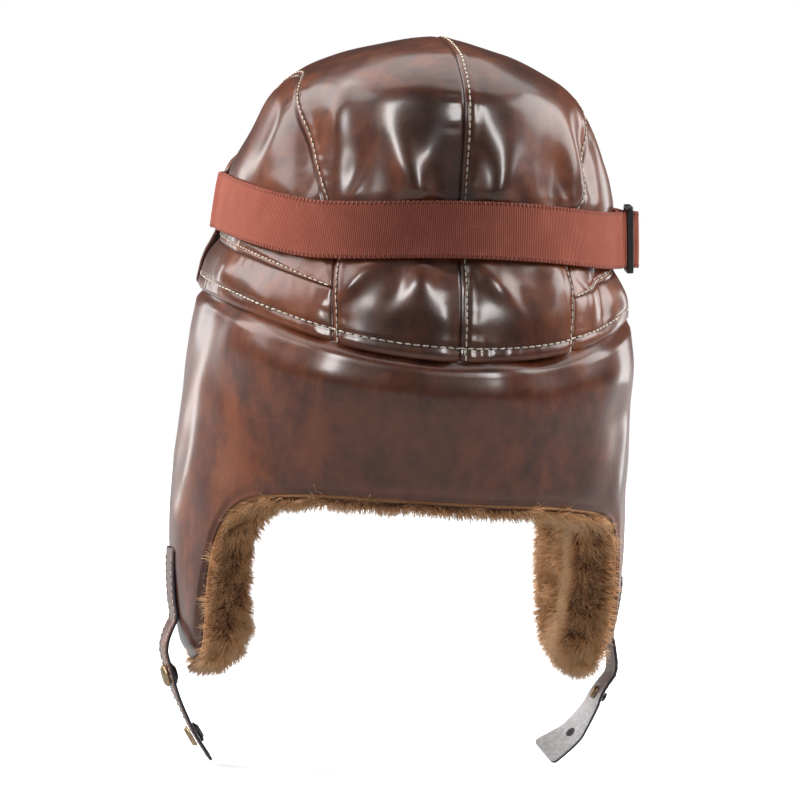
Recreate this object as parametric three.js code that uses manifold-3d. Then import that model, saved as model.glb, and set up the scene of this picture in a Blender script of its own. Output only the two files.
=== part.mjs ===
// Leather flying helmet, in millimetres, +Z up, the wearer facing -Y.
// The origin is the top of the hollow, where the crown rests on the head.
// Angles run round the head from the back: 0 is the nape, 90 the left ear, 180 the brow.
// Depths are measured down from the top of the crown's outside.

import * as THREE from 'three';
import { mergeVertices } from 'three/addons/utils/BufferGeometryUtils.js';
import Module from 'manifold-3d';

// Crown and skirt
const SIDE_REACH = 98; // from the middle to the outside above the ears
const BACK_REACH = 116; // from the head's axis to the outside at the nape
const FRONT_REACH = 114; // from the head's axis to the outside at the brow
const SQUARENESS = 2.12; // 2 is a plain ellipse
const TOP_SHIFT = 18; // how far the top of the crown lies behind the head's axis
const LEATHER = 1.8; // wall of every leather panel
const PANEL_GAP = 0.4; // clear space between neighbouring pieces
const HEM_DEPTH = 118; // top of the crown to its hem at the ears
const HEM_DROP = 24; // how much lower the hem hangs at the back
const HEM_RISE = 8; // how much higher it sits at the brow
const HEM_CURVE = 9; // how quickly the hem leaves its lowest point
const HEM_TILT = 2.2; // how much lower it hangs on the left, and higher on the right
const SIDE_STRIP = 24; // height of the lower side panel above the hem
const SIDE_STRIP_TILT = 2; // how much lower that panel is on the left, and higher on the right
const HEM_LAP = 7; // how far the skirt reaches up under the hem
const TUCK_OUT = HEM_LAP * 0.9; // how far below the hem the skirt is all out from under it
const SKIRT_SWELL = 1.4; // how far the skirt swells out below the hem
const SWELL_BELOW = HEM_LAP * 2.4; // how far below the hem it swells most
const SWELL_SPREAD = HEM_LAP * 1.8;
const NECK_DEPTH = 204; // top of the crown to the skirt's edge at the nape
const FLAP_DEPTH = { left: 287, right: 280 }; // top of the crown to each ear-flap tip
const BROW_FLAP_HEIGHT = 60;
const BROW_FLAP_ANGLE = 117; // where the turned-up flap begins, from the back
const BROW_CORNER_TURN = 10; // degrees over which each upper corner is rounded
const BROW_CORNER_CUT = 0.12; // share of the flap's height that a corner loses

// Gathers that the elastic pulls into the leather
const FOLD_HEIGHT = 3.2;
const SEAM_DIP = 1.3; // how far a seam is drawn in between two panels
const SEAM_DIP_WIDTH = 7;
const STRAP_PRESS = 2.4; // how far the elastic presses the crown in
const PRESS_EDGE = 1.3; // how sharply the press ends beside the elastic
const PRESS_SKEW = 1.6; // how much deeper the press is at the elastic's lower edge

// Goggle strap and its slider
const STRAP_DEPTH = 82.5;
const STRAP_HOLD = 0.58; // share of the press that the taut elastic follows
const STRAP_UPRIGHT = 0.12; // how much steeper it stands than the crown, per mm of width
const STRAP_FRONT_RISE = 6;
const STRAP_WIDTH = 25;
const STRAP_THICKNESS = 1.6;
const SLIDER_ANGLE = -75;
const SLIDER_LENGTH = 25; // along the strap
const SLIDER_HEIGHT = 30.4;
const SLIDER_THICKNESS = 3;
const SLIDER_BAR = 3.2;
const SLIDER_RAIL = 1.6;
const LOOP_SLACK = 1.6; // spare room between the middle bar and the elastic over it
const BAR_CLEAR = 0.6; // room between the middle bar and where the elastic turns over it
const END_BAR_CLEAR = 0.3;
const DOUBLED_SHARE = 1.25; // shares of half the slider between which the elastic settles
const SINGLE_SHARE = 2.2;
const STRAP_END_REACH = SLIDER_LENGTH * 0.62; // how far the elastic's end reaches each way
const SLIDER_TURN = 20; // degrees each side of the slider with close stations

// Fur lining of the skirt and flaps
const FUR_DEPTH = 20; // at the nape
const FUR_FLAP_DEPTH = { left: 25, right: 22 }; // at the flaps' lower half
const FUR_OVERHANG = 6; // how far the pile shows past the leather's edge at the nape
const FUR_FLAP_OVERHANG = 9;
const LOCK_PITCH = 21;
const LOCK_RELIEF = 4;
const LOCK_REACH = 0.25; // share of the overhang that changes from lock to lock
const OUTLINE_LENGTH = 4.4 * SIDE_REACH; // about half the skirt's outline

// Chin straps
const CHIN_WIDTH = 19;
const CHIN_THICKNESS = 1.5;
const CHIN_ANGLE = 88;
const CHIN_LENGTH = 66; // the free length below the stitched end
// Depth of each strap's stitched end, and the depth at which it leaves its flap.
const CHIN_TOP = { left: FLAP_DEPTH.left - 50, right: FLAP_DEPTH.right - 41 };
const CHIN_BOTTOM = { left: FLAP_DEPTH.left - 19, right: FLAP_DEPTH.right - 15 };
const CHIN_END = 0.62; // width of a strap's cut ends, as a share
const SNAP_RADIUS = 5.2;
const SNAP_HEIGHT = 2.2;
const STUD_RADIUS = 4.2;
const STUD_HEIGHT = 3.4;
const RIVET_RADIUS = 3.4;
const RIVET_HEIGHT = 1.4;
const EYELET_RADIUS = 3.6;
const EYELET_HEIGHT = 1;
const FASTENER_SIDES = 14;

// Steps of the solids' grids
const CENTRE_GRID = [6, 38];
const SIDE_UPPER_GRID = [6, 20];
const SIDE_LOWER_GRID = [4, 20];
const BROW_GRID = [6, 18];
const SKIRT_GRID = [11, 56];
const FUR_COLUMNS = 72;
const STRAP_STATIONS = { near: 30, far: 52, end: 8 };
const CHIN_STATIONS = { stitched: 5, free: 12 };
// Stations of the chin straps that carry a fastener
const UPPER_SNAP_STATION = 9;
const LOWER_SNAP_STATION = 14;
const STUD_STATION = 10;
const EYELET_STATION = 14;

const WELD = 0.005; // corners nearer than this are one
const FINE_WELD = 1e-4;

// Crown sections from the top to the hem. along is the share of the way down the leather,
// depth the share of the hem's depth, and the rest are shares of the three reaches.
const CROWN_SECTIONS = [
  { along: 0, depth: 0, side: 0, back: 0, front: 0 },
  { along: 0.17, depth: 0.048, side: 0.292, back: 0.39, front: 0.3 },
  { along: 0.26, depth: 0.09, side: 0.44, back: 0.53, front: 0.43 },
  { along: 0.375, depth: 0.165, side: 0.617, back: 0.672, front: 0.58 },
  { along: 0.45, depth: 0.242, side: 0.71, back: 0.735, front: 0.71 },
  { along: 0.57, depth: 0.4, side: 0.79, back: 0.793, front: 0.83 },
  { along: 0.68, depth: 0.551, side: 0.872, back: 0.835, front: 0.905 },
  { along: 0.78, depth: 0.695, side: 0.912, back: 0.893, front: 0.947 },
  { along: 0.87, depth: 0.82, side: 0.94, back: 0.948, front: 0.968 },
  { along: 1, depth: 1, side: 0.982, back: 1, front: 0.98 },
  { along: 1.13, depth: 1.18, side: 1, back: 1.02, front: 0.99 },
];

// Skirt sections. depth is a share of the longer flap's depth.
const SKIRT_SECTIONS = [
  { depth: 0.36, side: 0.978, back: 1, front: 0.98 },
  { depth: 0.42, side: 0.986, back: 1, front: 0.975 },
  { depth: 0.5, side: 1.006, back: 1.003, front: 0.94 },
  { depth: 0.6, side: 1.03, back: 0.99, front: 0.86 },
  { depth: 0.7, side: 1.045, back: 0.965, front: 0.755 },
  { depth: 0.8, side: 1.052, back: 0.955, front: 0.665 },
  { depth: 0.88, side: 1.04, back: 0.95, front: 0.61 },
  { depth: 0.95, side: 1.005, back: 0.94, front: 0.58 },
  { depth: 1, side: 0.955, back: 0.92, front: 0.56 },
  { depth: 1.07, side: 0.9, back: 0.9, front: 0.54 },
];

// The line of each arch seam in the crown's plan: half is its distance from the middle,
// ahead the distance from the ear line, both as shares of the plan's radius.
const ARCH_SEAM = [
  { ahead: -0.24, half: 0.428 },
  { ahead: 0, half: 0.385 },
  { ahead: 0.24, half: 0.428 },
  { ahead: 0.42, half: 0.438 },
  { ahead: 0.65, half: 0.428 },
  { ahead: 0.87, half: 0.477 },
  { ahead: 1.1, half: 0.477 },
];

// Puckers of the crown: angle and spread in degrees, depth and run as shares of the hem's
// depth, height as a share of FOLD_HEIGHT.
const CROWN_FOLDS = [
  { angle: 13, spread: 4.5, depth: 0.37, run: 0.13, height: 1 },
  { angle: -6, spread: 4.5, depth: 0.38, run: 0.14, height: 1 },
  { angle: 4, spread: 3.5, depth: 0.4, run: 0.12, height: -0.6 },
  { angle: 33, spread: 5, depth: 0.36, run: 0.12, height: 0.7 },
  { angle: 23, spread: 4, depth: 0.42, run: 0.1, height: -0.6 },
  { angle: -19, spread: 5, depth: 0.42, run: 0.1, height: -0.6 },
  { angle: -42, spread: 5, depth: 0.42, run: 0.11, height: 0.7 },
  { angle: 62, spread: 8, depth: 0.42, run: 0.12, height: 0.6 },
  { angle: -66, spread: 8, depth: 0.42, run: 0.12, height: 0.6 },
  { angle: 22, spread: 5, depth: 0.8, run: 0.1, height: 0.9 },
  { angle: 7, spread: 4.5, depth: 0.78, run: 0.1, height: 0.9 },
  { angle: -8, spread: 4.5, depth: 0.78, run: 0.1, height: 0.9 },
  { angle: -22, spread: 5, depth: 0.8, run: 0.1, height: 0.8 },
  { angle: 48, spread: 8, depth: 0.9, run: 0.12, height: 1.1 },
  { angle: 74, spread: 9, depth: 0.88, run: 0.1, height: 0.9 },
  { angle: -45, spread: 4, depth: 0.86, run: 0.14, height: -1.1 },
  { angle: -60, spread: 7, depth: 0.9, run: 0.12, height: 1 },
  { angle: 97, spread: 7, depth: 0.88, run: 0.1, height: 0.3 },
  { angle: -92, spread: 7, depth: 0.88, run: 0.1, height: 0.3 },
];

// How much lower the elastic runs than a level loop, by the angle from the back in degrees.
const STRAP_SAG = [
  { angle: -180, sag: 0 },
  { angle: -110, sag: 1 },
  { angle: -75, sag: 2.7 },
  { angle: -60, sag: 3.4 },
  { angle: -46, sag: 3.4 },
  { angle: -30, sag: 2.3 },
  { angle: -15, sag: 1.7 },
  { angle: 0, sag: 2.2 },
  { angle: 12, sag: 3.4 },
  { angle: 22, sag: 4.8 },
  { angle: 32, sag: 5.9 },
  { angle: 40, sag: 6.1 },
  { angle: 50, sag: 4.7 },
  { angle: 62, sag: 2.5 },
  { angle: 75, sag: 0.4 },
  { angle: 90, sag: -1.1 },
  { angle: 110, sag: -1.3 },
  { angle: 150, sag: -0.5 },
  { angle: 180, sag: 0 },
];

// Half of the skirt's outline from the nape to the brow. rim is the angle at its top, edge
// the angle at its lower edge, drop the share of the way from the nape's edge to the flap tip.
const SKIRT_OUTLINE = [
  { rim: 0, edge: 0, drop: 0 },
  { rim: 12, edge: 12, drop: 0 },
  { rim: 24, edge: 25, drop: 0 },
  { rim: 36, edge: 38, drop: 0.015 },
  { rim: 45, edge: 48, drop: 0.045 },
  { rim: 51, edge: 55, drop: 0.11 },
  { rim: 56, edge: 60, drop: 0.21 },
  { rim: 60, edge: 63.5, drop: 0.34 },
  { rim: 65, edge: 66, drop: 0.52 },
  { rim: 70, edge: 68, drop: 0.72 },
  { rim: 75, edge: 71.5, drop: 0.87 },
  { rim: 81, edge: 78, drop: 0.965 },
  { rim: 88, edge: 87, drop: 1 },
  { rim: 95, edge: 96, drop: 0.985 },
  { rim: 101, edge: 104, drop: 0.9 },
  { rim: 106, edge: 109, drop: 0.74 },
  { rim: 111, edge: 112.5, drop: 0.45 },
  { rim: 115, edge: 115, drop: 0.1 },
  { rim: 119, edge: 118, drop: -0.3 },
  { rim: 123, edge: 121.5, drop: -0.68 },
  { rim: 127, edge: 126, drop: -0.98 },
];

// How each free chin strap hangs below its flap: down and out are shares of CHIN_LENGTH,
// turn is the twist of its width in degrees.
const CHIN_HANG = {
  left: [
    { down: 0, out: 0, turn: 0 },
    { down: 0.2, out: 0.055, turn: 0 },
    { down: 0.31, out: 0.03, turn: 0 },
    { down: 0.42, out: -0.008, turn: 0 },
    { down: 0.53, out: -0.05, turn: 2 },
    { down: 0.77, out: -0.18, turn: 4 },
    { down: 0.96, out: -0.315, turn: 5 },
  ],
  right: [
    { down: 0, out: 0, turn: 0 },
    { down: 0.22, out: 0.045, turn: 0 },
    { down: 0.31, out: 0.03, turn: 0 },
    { down: 0.4, out: -0.035, turn: 2 },
    { down: 0.52, out: -0.085, turn: 6 },
    { down: 0.65, out: -0.16, turn: 14 },
    { down: 0.74, out: -0.23, turn: 22 },
    { down: 0.87, out: -0.4, turn: 34 },
  ],
};

// Profiles of the round fasteners from the foot up, as shares of their radius and height.
const CAP_PROFILE = [
  { radius: 1, height: 0 },
  { radius: 1, height: 0.45 },
  { radius: 0.78, height: 1 },
];
const SOCKET_PROFILE = [
  { radius: 0.95, height: 0 },
  { radius: 0.95, height: 0.5 },
  { radius: 0.62, height: 0.8 },
  { radius: 0.62, height: 1 },
];
const STUD_PROFILE = [
  { radius: 1, height: 0 },
  { radius: 1, height: 0.25 },
  { radius: 0.5, height: 0.35 },
  { radius: 0.45, height: 0.7 },
  { radius: 0.575, height: 0.85 },
  { radius: 0.4, height: 1 },
];
const HEAD_PROFILE = [
  { radius: 1, height: 0 },
  { radius: 0.9, height: 0.6 },
  { radius: 0.6, height: 1 },
];

// Colours and surfaces
const LEATHER_BROWN = new THREE.MeshStandardMaterial({ color: 0x54301f, roughness: 0.35, metalness: 0 });
const FUR_TAN = new THREE.MeshStandardMaterial({ color: 0xa47a4b, roughness: 0.95, metalness: 0 });
const ELASTIC_RUST = new THREE.MeshStandardMaterial({ color: 0x9a4a36, roughness: 0.8, metalness: 0 });
const SLIDER_BLACK = new THREE.MeshStandardMaterial({ color: 0x141416, roughness: 0.4, metalness: 0.2 });
const CHIN_LEATHER = new THREE.MeshStandardMaterial({ color: 0x4a2c1e, roughness: 0.5, metalness: 0 });
const SNAP_BRASS = new THREE.MeshStandardMaterial({ color: 0x9b7a4c, roughness: 0.3, metalness: 1 });
const SNAP_DARK = new THREE.MeshStandardMaterial({ color: 0x26262a, roughness: 0.4, metalness: 0.8 });

const wasm = await Module();
wasm.setup();

const TAU = 2 * Math.PI;
const radians = THREE.MathUtils.degToRad;
const degrees = THREE.MathUtils.radToDeg;
const clamp = THREE.MathUtils.clamp;
const mix = THREE.MathUtils.lerp;

// 0 before start, 1 after end and a smooth rise between them.
function ease(value, start, end) {
  return THREE.MathUtils.smoothstep(value, start, end);
}

// 1 at the middle of a bump, falling smoothly to nothing a few widths away.
function bump(distance, width) {
  return Math.exp(-((distance / width) ** 2));
}

// Reads a table as smooth curves: key is the column it runs along.
function readTable(rows, key) {
  const slopeAt = (index, column) => {
    const before = rows[Math.max(index - 1, 0)];
    const after = rows[Math.min(index + 1, rows.length - 1)];
    return (after[column] - before[column]) / (after[key] - before[key]);
  };
  return (at, column) => {
    const place = clamp(at, rows[0][key], rows[rows.length - 1][key]);
    const next = Math.max(rows.findIndex((row) => row[key] >= place), 1);
    const low = rows[next - 1];
    const high = rows[next];
    const span = high[key] - low[key];
    const t = (place - low[key]) / span;
    const rise = t * t * (3 - 2 * t);
    const leave = t * (1 - t) * (1 - t) * span * slopeAt(next - 1, column);
    const arrive = t * t * (t - 1) * span * slopeAt(next, column);
    return mix(low[column], high[column], rise) + leave + arrive;
  };
}

const crownSection = readTable(CROWN_SECTIONS, 'along');
const skirtSection = readTable(SKIRT_SECTIONS, 'depth');
const archSeam = readTable(ARCH_SEAM, 'ahead');
const strapSag = readTable(STRAP_SAG, 'angle');
const skirtOutline = readTable(SKIRT_OUTLINE.map((row, index) => ({ ...row, index })), 'index');

// Half of each seam's gap in the plan, whose radius stands for the way from top to hem.
const PLAN_SCALE = HEM_DEPTH + SIDE_REACH / 2;
const PLAN_GAP = 1.5 * PANEL_GAP / PLAN_SCALE;
const CENTRE_GAP = 0.5 * PANEL_GAP / PLAN_SCALE;

// The smallest turn between two angles in radians.
function turnBetween(angle, other) {
  return Math.atan2(Math.sin(angle - other), Math.cos(angle - other));
}

function hemDepth(angle) {
  const toBack = Math.abs(Math.cos(angle / 2)) ** HEM_CURVE;
  const toFront = Math.abs(Math.sin(angle / 2)) ** HEM_CURVE;
  return HEM_DEPTH + HEM_DROP * toBack - HEM_RISE * toFront + HEM_TILT * Math.sin(angle);
}

function strapDepth(angle) {
  const rise = STRAP_FRONT_RISE * Math.abs(Math.sin(angle / 2)) ** HEM_CURVE;
  return STRAP_DEPTH - rise + strapSag(degrees(turnBetween(angle, 0)), 'sag');
}

// A point on the head's outline at one angle, from the shares that a table row holds.
function outlinePoint(angle, side, back, front, centre, depth) {
  const across = Math.sin(angle);
  const lengthwise = Math.cos(angle);
  const reach = lengthwise >= 0 ? back * BACK_REACH : front * FRONT_REACH;
  const sum = (Math.abs(across) / (side * SIDE_REACH)) ** SQUARENESS
    + (Math.abs(lengthwise) / reach) ** SQUARENESS;
  const radius = sum ** (-1 / SQUARENESS);
  return new THREE.Vector3(radius * across, centre + radius * lengthwise, LEATHER - depth);
}

// The share of the way from the top to the hem at which a depth lies, at one angle.
function alongAtDepth(angle, depth) {
  const share = depth / hemDepth(angle);
  let low = 0;
  let high = CROWN_SECTIONS[CROWN_SECTIONS.length - 1].along;
  for (let step = 0; step < 24; step += 1) {
    const middle = (low + high) / 2;
    if (crownSection(middle, 'depth') < share) low = middle;
    else high = middle;
  }
  return (low + high) / 2;
}

// The crown without its folds, pushed out by lift.
function crownBase(angle, along, lift) {
  const share = Math.max(along, 1e-4);
  const depth = crownSection(share, 'depth') * hemDepth(angle);
  const centre = TOP_SHIFT * Math.max(1 - share, 0) ** 2;
  const point = outlinePoint(
    angle, crownSection(share, 'side'), crownSection(share, 'back'), crownSection(share, 'front'), centre, depth,
  );
  point.x += lift * Math.sin(angle);
  point.y += lift * Math.cos(angle);
  return point;
}

// How far the elastic draws the crown in at a depth.
function strapPress(angle, depth) {
  const away = (depth - strapDepth(angle)) / STRAP_WIDTH;
  return STRAP_PRESS * Math.exp(-((away * PRESS_EDGE) ** 4)) * Math.max(1 + PRESS_SKEW * away, 0);
}

// Gathers of the crown at an angle and depth: none under the strap, at the hem or on top.
function crownFolds(angle, depth) {
  const hem = hemDepth(angle);
  const fromStrap = Math.abs(depth - strapDepth(angle)) - STRAP_WIDTH / 2;
  const free = ease(fromStrap, 0, STRAP_WIDTH / 3) * ease(depth, hem * 0.12, hem * 0.28)
    * (1 - ease(depth, hem * 0.93, hem));
  let height = 0;
  for (const fold of CROWN_FOLDS) {
    const turn = degrees(turnBetween(angle, radians(fold.angle)));
    height += fold.height * bump(turn, fold.spread) * bump(depth / hem - fold.depth, fold.run);
  }
  return FOLD_HEIGHT * free * height;
}

// How far the leather is drawn in beside the centre seam, the arch seams and the side seams.
function seamDip(across, ahead) {
  const along = Math.hypot(across, ahead);
  const fromCentre = Math.abs(across) * PLAN_SCALE;
  const fromArch = Math.abs(Math.abs(across) - archSeam(Math.abs(ahead), 'half')) * PLAN_SCALE;
  const outside = Math.abs(across) > archSeam(Math.abs(ahead), 'half') ? 1 : 0;
  const fromSide = Math.abs(along - sideSeamAlong(Math.atan2(across, ahead))) * PLAN_SCALE;
  const dip = Math.max(
    bump(fromCentre, SEAM_DIP_WIDTH), bump(fromArch, SEAM_DIP_WIDTH), outside * bump(fromSide, SEAM_DIP_WIDTH),
  );
  return SEAM_DIP * dip * ease(along, 0, 0.3);
}

// Share of the way down at which the level seam of the side panels runs.
function sideSeamAlong(angle) {
  return alongAtDepth(angle, hemDepth(angle) - SIDE_STRIP + SIDE_STRIP_TILT * Math.sin(angle));
}

// The crown's outside, from a place in its plan.
function crownPoint(across, ahead) {
  const angle = Math.atan2(across, ahead);
  const along = Math.hypot(across, ahead);
  const depth = crownSection(along, 'depth') * hemDepth(angle);
  return crownBase(angle, along, crownFolds(angle, depth) - strapPress(angle, depth) - seamDip(across, ahead));
}

// The skirt's outside at an angle and depth: tucked in under the hem, swelling out below it.
function skirtPoint(angle, depth) {
  const share = depth / FLAP_DEPTH.left;
  const below = depth - hemDepth(angle);
  const swell = SKIRT_SWELL * bump(below - SWELL_BELOW, SWELL_SPREAD);
  const hanging = outlinePoint(
    angle, skirtSection(share, 'side'), skirtSection(share, 'back'), skirtSection(share, 'front'), 0, depth,
  );
  hanging.x += swell * Math.sin(angle);
  hanging.y += swell * Math.cos(angle);
  if (below > TUCK_OUT) return hanging;
  const tucked = crownBase(angle, alongAtDepth(angle, depth), -(LEATHER + PANEL_GAP + SEAM_DIP));
  return tucked.lerp(hanging, ease(below, PANEL_GAP, TUCK_OUT));
}

// The outward direction of a surface that two coordinates describe.
function outwardAt(surface, a, b, stepA, stepB) {
  const alongA = surface(a + stepA, b).sub(surface(a - stepA, b));
  const alongB = surface(a, b + stepB).sub(surface(a, b - stepB));
  const normal = alongA.cross(alongB).normalize();
  const fromMiddle = surface(a, b).sub(new THREE.Vector3(0, 0, -HEM_DEPTH / 2));
  return normal.dot(fromMiddle) < 0 ? normal.negate() : normal;
}

function crownOutward(across, ahead) {
  return outwardAt(crownPoint, across, ahead, 0.01, 0.01);
}

function skirtOutward(angle, depth) {
  return outwardAt(skirtPoint, angle, depth, 0.01, 1);
}

// A closed solid between an outer and an inner sheet of points, given as rows of columns.
function solidBetween(outer, inner, closed) {
  const rows = outer.length;
  const columns = outer[0].length;
  const vertices = [...outer.flat(), ...inner.flat()];
  const positions = new Float32Array(vertices.flatMap((vertex) => vertex.toArray()));
  const innerStart = rows * columns;
  const triangles = [];
  const quad = (a, b, c, d) => {
    const acrossAC = vertices[a].distanceTo(vertices[c]);
    const acrossBD = vertices[b].distanceTo(vertices[d]);
    if (acrossAC <= acrossBD) triangles.push([a, b, c], [a, c, d]);
    else triangles.push([a, b, d], [b, c, d]);
  };
  const lastColumn = closed ? columns : columns - 1;
  for (let row = 0; row < rows - 1; row += 1) {
    for (let column = 0; column < lastColumn; column += 1) {
      const next = (column + 1) % columns;
      const a = row * columns + column;
      const b = row * columns + next;
      const c = (row + 1) * columns + next;
      const d = (row + 1) * columns + column;
      quad(a, b, c, d);
      quad(innerStart + d, innerStart + c, innerStart + b, innerStart + a);
    }
  }
  for (let column = 0; column < lastColumn; column += 1) {
    const next = (column + 1) % columns;
    const last = (rows - 1) * columns;
    quad(innerStart + column, innerStart + next, next, column);
    quad(last + column, last + next, innerStart + last + next, innerStart + last + column);
  }
  if (!closed) {
    for (let row = 0; row < rows - 1; row += 1) {
      const start = row * columns;
      const below = start + columns;
      const end = start + columns - 1;
      const belowEnd = below + columns - 1;
      quad(start, below, innerStart + below, innerStart + start);
      quad(innerStart + end, innerStart + belowEnd, belowEnd, end);
    }
  }
  return facingOut(positions, triangles);
}

// Merges shared corners, drops triangles without area and points the faces outwards.
function facingOut(positions, triangles) {
  const loose = new THREE.BufferGeometry();
  loose.setAttribute('position', new THREE.BufferAttribute(positions, 3));
  loose.setIndex(triangles.flat());
  const merged = mergeVertices(loose, WELD);
  const index = merged.getIndex().array;
  const kept = [];
  for (let start = 0; start < index.length; start += 3) {
    const [a, b, c] = index.slice(start, start + 3);
    if (a !== b && b !== c && c !== a) kept.push(a, b, c);
  }
  merged.setIndex(kept);
  const place = merged.getAttribute('position');
  const corner = (number) => new THREE.Vector3().fromBufferAttribute(place, number);
  let volume = 0;
  for (let start = 0; start < kept.length; start += 3) {
    const [a, b, c] = kept.slice(start, start + 3).map(corner);
    volume += a.dot(b.cross(c));
  }
  if (volume < 0) merged.setIndex(kept.reverse());
  merged.computeVertexNormals();
  return merged;
}

// A grid of values from a function of two shares between 0 and 1.
function grid(rows, columns, make) {
  return Array.from({ length: rows + 1 }, (_, row) => (
    Array.from({ length: columns + 1 }, (__, column) => make(row / rows, column / columns))
  ));
}

// A leather panel cut from the crown: place turns two shares into a place in its plan.
function crownPanel([rows, columns], place) {
  const sheet = (offset) => grid(rows, columns, (u, v) => {
    const [across, ahead] = place(u, v);
    return crownPoint(across, ahead).addScaledVector(crownOutward(across, ahead), offset);
  });
  return solidBetween(sheet(0), sheet(-LEATHER));
}

// The angle at which a line beside the arch seam crosses a ring of the crown's plan, on the
// nape's side of the ear or, with toward -1, on the brow's.
function archCrossing(ringAlong, shift, toward) {
  let low = 0;
  let high = 1;
  for (let step = 0; step < 30; step += 1) {
    const ahead = (low + high) / 2;
    const half = archSeam(ahead, 'half') + shift;
    if (Math.hypot(half, ahead) < ringAlong(Math.atan2(half, toward * ahead))) low = ahead;
    else high = ahead;
  }
  return Math.atan2(archSeam(low, 'half') + shift, toward * low);
}

// One half of the strip that runs over the head from nape to brow.
function crownCentre(sign) {
  const seamEnd = ARCH_SEAM[ARCH_SEAM.length - 1].half;
  return crownPanel(CENTRE_GRID, (u, v) => {
    const outerHalf = mix(CENTRE_GAP, seamEnd - PLAN_GAP, u);
    const ahead = (1 - 2 * v) * Math.sqrt(1 - outerHalf ** 2);
    const half = archSeam(Math.abs(ahead), 'half');
    return [sign * mix(CENTRE_GAP, half - PLAN_GAP, u), ahead];
  });
}

// The arched side panel above the level seam.
function crownSideUpper(sign) {
  const ringAlong = (angle) => sideSeamAlong(angle) - PLAN_GAP;
  const back = archCrossing(ringAlong, PLAN_GAP, 1);
  const front = archCrossing(ringAlong, PLAN_GAP, -1);
  const backAhead = ringAlong(back) * Math.cos(back);
  const frontAhead = ringAlong(front) * Math.cos(front);
  return crownPanel(SIDE_UPPER_GRID, (u, v) => {
    const angle = mix(back, front, v);
    const seamAhead = mix(backAhead, frontAhead, (1 - Math.cos(v * Math.PI)) / 2);
    const seamHalf = archSeam(Math.abs(seamAhead), 'half') + PLAN_GAP;
    const ends = v === 0 || v === 1;
    const ringHalf = ends ? seamHalf : ringAlong(angle) * Math.sin(angle);
    const ringAhead = ends ? seamAhead : ringAlong(angle) * Math.cos(angle);
    return [sign * mix(seamHalf, ringHalf, u), mix(seamAhead, ringAhead, u)];
  });
}

// The strip of the side panel between the level seam and the hem.
function crownSideLower(sign) {
  return crownPanel(SIDE_LOWER_GRID, (u, v) => {
    const ringAlong = (angle) => mix(sideSeamAlong(angle) + PLAN_GAP, 1, u);
    const angle = mix(archCrossing(ringAlong, PLAN_GAP, 1), archCrossing(ringAlong, PLAN_GAP, -1), v);
    return [sign * ringAlong(angle) * Math.sin(angle), ringAlong(angle) * Math.cos(angle)];
  });
}

// The plain flap turned up over the brow, its upper corners rounded.
function browFlap() {
  const lift = LEATHER + PANEL_GAP + SEAM_DIP;
  const span = 360 - 2 * BROW_FLAP_ANGLE;
  const sheet = (offset) => grid(...BROW_GRID, (u, v) => {
    const angle = radians(BROW_FLAP_ANGLE + v * span);
    const fromEnd = Math.min(v, 1 - v) * span;
    const rounding = 1 - clamp(fromEnd / BROW_CORNER_TURN, 0, 1);
    const height = BROW_FLAP_HEIGHT * (1 - BROW_CORNER_CUT * rounding ** 2);
    const depth = hemDepth(angle) - u * height;
    return crownBase(angle, alongAtDepth(angle, depth), offset - strapPress(angle, depth));
  });
  return solidBetween(sheet(lift), sheet(lift - LEATHER));
}

// The skirt's top and edge at a signed place along its outline, from -1 to 1.
function skirtColumn(place) {
  const side = place < 0 ? 'right' : 'left';
  const index = Math.abs(place) * (SKIRT_OUTLINE.length - 1);
  const sign = Math.sign(place) || 1;
  const rim = radians(skirtOutline(index, 'rim')) * sign;
  const edge = radians(skirtOutline(index, 'edge')) * sign;
  const fall = FLAP_DEPTH[side] - NECK_DEPTH;
  return {
    rim, edge, top: hemDepth(rim) - HEM_LAP, bottom: NECK_DEPTH + skirtOutline(index, 'drop') * fall,
  };
}

function skirtPlace(place, down) {
  const { rim, edge, top, bottom } = skirtColumn(place);
  return [mix(rim, edge, down), mix(top, bottom, down)];
}

// The share of the skirt's height at one of its rows, the first ones close about the hem.
function skirtRow(place, row) {
  const { top, bottom } = skirtColumn(place);
  const height = bottom - top;
  const hem = Math.min((HEM_LAP + PANEL_GAP) / height, 0.35);
  const out = Math.min((HEM_LAP + TUCK_OUT) / height, 0.7);
  if (row < 2) return row * hem;
  return mix(out, 1, (row - 2) / (SKIRT_GRID[0] - 2));
}

// Neck and ear flaps in one sheet of leather.
function neckSkirt() {
  const sheet = (offset) => grid(...SKIRT_GRID, (u, v) => {
    const place = 2 * v - 1;
    const [angle, depth] = skirtPlace(place, skirtRow(place, Math.round(u * SKIRT_GRID[0])));
    return skirtPoint(angle, depth).addScaledVector(skirtOutward(angle, depth), offset);
  });
  return solidBetween(sheet(0), sheet(-LEATHER));
}

// A place past the skirt's edge, square to it and overhang away.
function beyondEdge(place, overhang) {
  const step = 0.004;
  const before = skirtColumn(Math.max(place - step, -1));
  const after = skirtColumn(Math.min(place + step, 1));
  const { edge, bottom } = skirtColumn(place);
  const radius = Math.hypot(...skirtPoint(edge, bottom).toArray().slice(0, 2));
  const along = new THREE.Vector2(radius * (after.edge - before.edge), after.bottom - before.bottom).normalize();
  return [edge - along.y * overhang / radius, bottom + along.x * overhang];
}

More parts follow.
